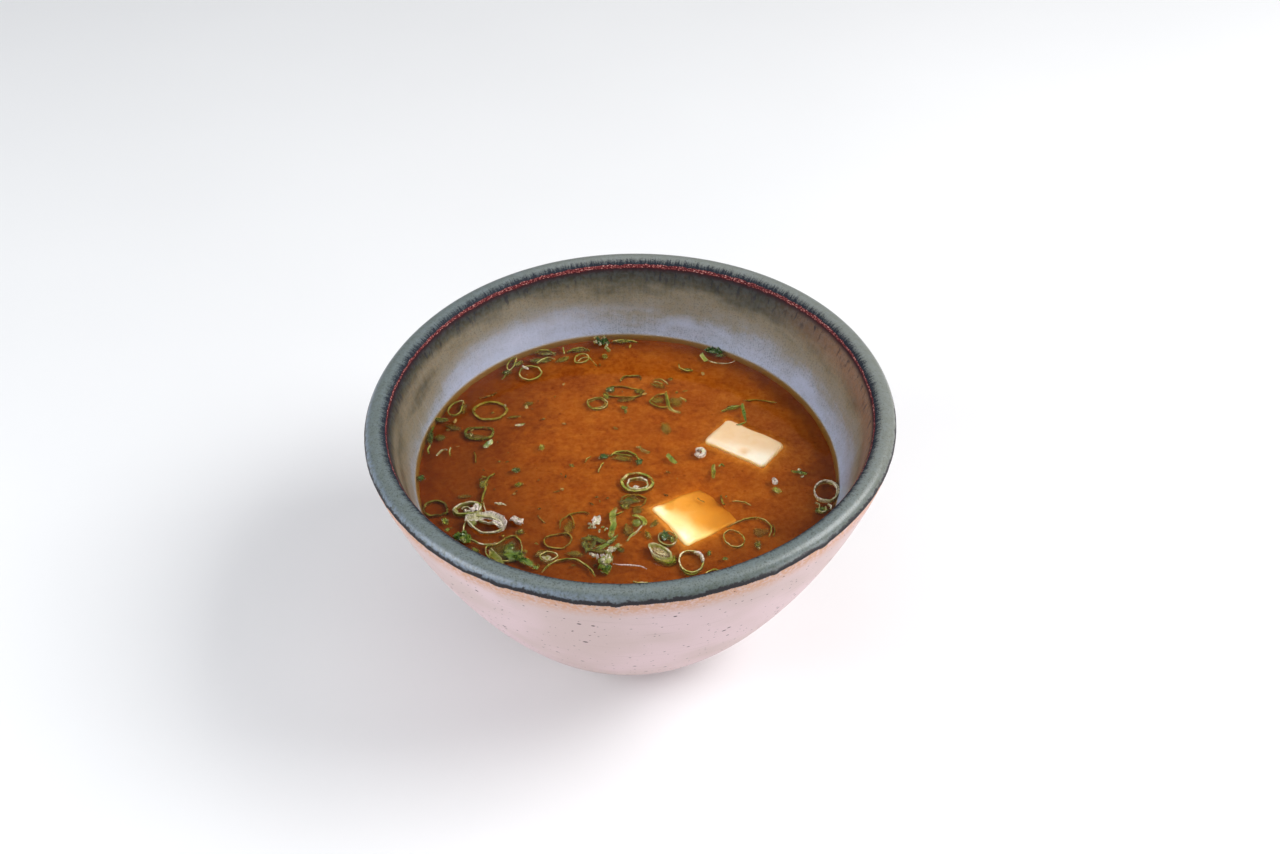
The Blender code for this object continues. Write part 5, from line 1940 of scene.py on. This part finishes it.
        Flake(43.4, -2.0, 3.6, 1.2, -10.0, top=-0.4, tone=0.15, body=0.9),
    ),
    Kind.FLORETS: (
        *cluster(((-3.3, -30.0), (-3.9, -30.7), (-4.4, -31.2), (-4.9, -31.7), (-4.2, -31.9)), 1.3, 0.9, 0.6),
        # Drawn at a tone past 1, so these bits are partly painted highlights on the floret.
        *cluster(((-6.2, -32.6), (-7.3, -32.9), (-8.2, -32.8), (-8.6, -32.1)), 0.85, 1.2, 0.45, 0.15),
        *cluster(((-5.0, -32.8), (-5.3, -33.8), (-4.6, -34.8), (-5.9, -35.0), (-5.4, -35.7)), 1.35, 0.85, 0.5, 0.45),
        *cluster(((-4.6, -33.0), (-5.8, -33.6), (-4.4, -34.0), (-6.2, -34.4)), 1.2, 0.45, 0.55, 0.4),
        *cluster(((-5.2, -36.7), (-4.8, -36.0), (-5.8, -36.2), (-5.2, -37.2)), 1.3, 0.3, 0.2, 0.4),
        *cluster(((-39.5, -25.7), (-39.2, -26.7), (-39.8, -27.6), (-39.6, -28.4), (-38.8, -27.4)), 1.2, 0.45, 0.4),
        *cluster(((-38.6, -26.6), (-38.4, -28.0), (-40.6, -26.6)), 1.3, 0.2, 0.1),
        *cluster(((-9.5, -22.1), (-9.1, -22.9), (-8.4, -22.8)), 0.8, 0.75, 0.3, 0.25),
        *cluster(((-6.1, -23.0), (-5.5, -23.5), (-7.0, -24.2)), 0.6, 0.8, 0.2, 0.2),
        *cluster(((-8.6, 49.8), (-7.8, 49.9), (-8.2, 49.1), (-7.2, 49.4)), 1.3, -0.05, 0.2, 0.4),
        *cluster(((-9.2, 51.4), (-7.2, 50.8), (-8.2, 48.2), (-9.7, 48.8), (-6.6, 48.6)), 0.7, 0.85, 0.5, 0.3),
        *cluster(((21.6, 46.9), (23.4, 46.8), (24.8, 45.9)), 1.2, 0.05, 0.1, 0.4),
        *cluster(((-26.2, -32.6), (-27.4, -33.4), (-25.6, -33.6)), 1.1, 0.2, 0.0, 0.5),
    ),
    # Pale bits of stem; those drawn at a tone past 1 are partly painted highlights where wet leaf catches the light.
    Kind.CHIPS_AND_GLINTS: (
        Flake(-31.7, -14.9, 2.5, 0.75, -10.0, top=0.15, tone=0.95, body=1.0, soft=False),
        Flake(-27.2, -20.9, 3.4, 2.3, -24.0, top=0.4, thick=1.0, tone=1.15, body=1.0, torn=0.6, soft=False),
        Flake(-7.8, -20.7, 2.9, 1.9, 62.0, top=0.4, thick=0.9, tone=1.1, body=1.0, torn=0.55, soft=False),
        Flake(36.6, -5.9, 1.3, 2.3, 10.0, top=0.2, thick=0.6, tone=1.2, body=0.95, soft=False),
        Flake(43.0, -1.4, 0.8, 0.5, 0.0, top=0.15, tone=0.9, body=1.0, soft=False),
        Flake(43.6, -3.8, 1.2, 0.6, 20.0, top=-0.1, tone=0.95, body=0.8),
        Flake(-28.4, 14.7, 2.5, 0.8, 12.0, top=0.0, tone=0.9, body=0.85),
        Flake(-28.0, 15.4, 2.4, 0.8, 12.0, top=-0.4, tone=0.4, body=0.8),
        Flake(-27.0, 22.2, 1.0, 1.5, 10.0, top=-0.4, tone=0.8, body=0.7),
        Flake(-32.6, 22.8, 0.8, 0.9, 0.0, top=-0.3, tone=1.0, body=0.8),
        # A painted white glint on the ring here.
        Flake(-28.2, 38.2, 1.9, 0.7, -35.0, top=0.15, tone=1.1, body=1.0, soft=False),
        Leaf(
            ((16.6, 3.9), (17.9, 3.0), (19.3, 3.6), (19.6, 5.2), (18.6, 6.5), (17.2, 6.1), (17.0, 4.9)),
            top=0.4, height=1.0, wall=1.0, tone=1.1, rim=0.05, body=1.0, crumple=0.2,
        ),
    ),
}


@dataclass(frozen=True)
class Garnish:
    """All the smaller cuts of scallion in and on the broth."""

    finish: bpy.types.Material
    level: float

    def build(self) -> list[bpy.types.Object]:
        """Make one piece for each kind of cut."""
        pieces = []
        scattered = {**CUTS, Kind.CRUMBS: crumbs(tuple(block.shore() for block in TOFU))}
        for kind, parts in scattered.items():
            mesh = joined(parts, self.level)
            pieces.append(finished_piece(kind.value, mesh, self.finish, (), 50.0))
        return pieces


@dataclass(frozen=True)
class TableCamera:
    """The camera: how far from the rim's middle, how high, and how it is aimed."""

    lens: float = 48.26
    distance: float = 0.4225
    elevation: float = math.radians(40.70)
    rim_height: float = 0.0676
    aim_right: float = math.radians(0.36)
    aim_up: float = math.radians(-0.483)
    roll: float = math.radians(0.877)

    def place(self) -> bpy.types.Object:
        """Make the camera and look through it."""
        back = Vector((0.0, -math.cos(self.elevation), math.sin(self.elevation)))
        right = Vector((1.0, 0.0, 0.0))
        above = right.cross(-back)
        forward = (-back + math.tan(self.aim_right) * right + math.tan(self.aim_up) * above).normalized()
        side = forward.cross(UP).normalized()
        top = side.cross(forward)
        across = side * math.cos(self.roll) + top * math.sin(self.roll)
        upward = top * math.cos(self.roll) - side * math.sin(self.roll)
        data = bpy.data.cameras.new("table_camera")
        data.lens = self.lens
        data.clip_start = 0.01
        made = bpy.data.objects.new("table_camera", data)
        turn = Matrix((across, upward, -forward)).transposed().to_4x4()
        made.matrix_world = Matrix.Translation(back * self.distance + UP * self.rim_height) @ turn
        bpy.context.scene.collection.objects.link(made)
        bpy.context.scene.camera = made
        return made


@dataclass(frozen=True)
class Softbox:
    """A square studio light that faces the bowl."""

    name: str
    place: tuple[float, float, float]
    size: float
    power: float
    tint: Colour = (1.0, 1.0, 1.0)

    def build(self) -> bpy.types.Object:
        """Make the light."""
        data = bpy.data.lights.new(self.name, "AREA")
        data.shape = "SQUARE"
        data.size = self.size
        data.energy = self.power
        data.color = self.tint
        made = bpy.data.objects.new(self.name, data)
        made.location = self.place
        aim = Vector((0.0, 0.0, 0.05)) - Vector(self.place)
        made.rotation_euler = aim.to_track_quat("-Z", "Y").to_euler()
        bpy.context.scene.collection.objects.link(made)
        return made


@dataclass(frozen=True)
class Studio:
    """A pale floor, soft lights and a plain grey-white world."""

    floor_size: float = 3.0
    world: Colour = (0.92, 0.94, 1.0)
    world_strength: float = 0.27
    lights: tuple[Softbox, ...] = (
        Softbox("key_light", (0.56, 0.03, 0.60), 0.45, 5.6),
        Softbox("top_light", (-0.10, 0.12, 0.95), 0.60, 1.2),
        Softbox("right_light", (0.80, -0.40, 0.16), 0.40, 2.4),
        Softbox("front_light", (-0.15, -0.90, 0.34), 0.50, 1.08),
        Softbox("left_light", (-0.65, -0.25, 0.40), 0.40, 3.7, (0.92, 0.96, 1.0)),
    )

    def build(self) -> None:
        """Make the floor, the lights and the world."""
        mesh = bmesh.new()
        bmesh.ops.create_grid(mesh, x_segments=1, y_segments=1, size=self.floor_size / 2)
        data = bpy.data.meshes.new("floor")
        mesh.to_mesh(data)
        mesh.free()
        floor = bpy.data.objects.new("floor", data)
        bpy.context.scene.collection.objects.link(floor)
        finish, graph, shader = new_finish("floor")
        haze = graph.noise(graph.millimetres(), 90.0, 2.0)
        graph.feed(shader.inputs["Base Color"], graph.mix(haze, (0.84, 0.84, 0.84), (0.88, 0.88, 0.88)))
        graph.feed(shader.inputs["Roughness"], 0.8)
        data.materials.append(finish)
        for light in self.lights:
            light.build()
        world = bpy.data.worlds.new("studio")
        world.use_nodes = True
        background = world.node_tree.nodes["Background"]
        background.inputs["Color"].default_value = (*self.world, 1.0)
        background.inputs["Strength"].default_value = self.world_strength
        bpy.context.scene.world = world
        bpy.context.scene.view_settings.view_transform = "Standard"


def main() -> None:
    """Make the studio and the soup's pieces, in order."""
    logging.basicConfig(level=logging.INFO, format="%(name)s: %(message)s")
    TableCamera().place()
    Studio().build()
    effects = Effects()
    form = BowlForm()
    StonewareBowl(form, StonewareFinish().build(effects)).build()
    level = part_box("soup")[1].z
    shores = tuple(piece.shore() for piece in (*TOFU[:1], *SLICES))
    Broth(form, BrothFinish().build(effects), level, shores).build()
    blocks = tuple(block.shore() for block in TOFU)
    MisoCloud(form, CloudFinish().build(effects), level, blocks).build()
    curd = TofuFinish(level / MM).build(effects)
    for block in TOFU:
        block.build(curd)
    leaf = ScallionFinish(level / MM).build(effects)
    for ring in SLICES:
        ring.build(leaf, level)
    Garnish(leaf, level).build()


if __name__ == "__main__":
    main()
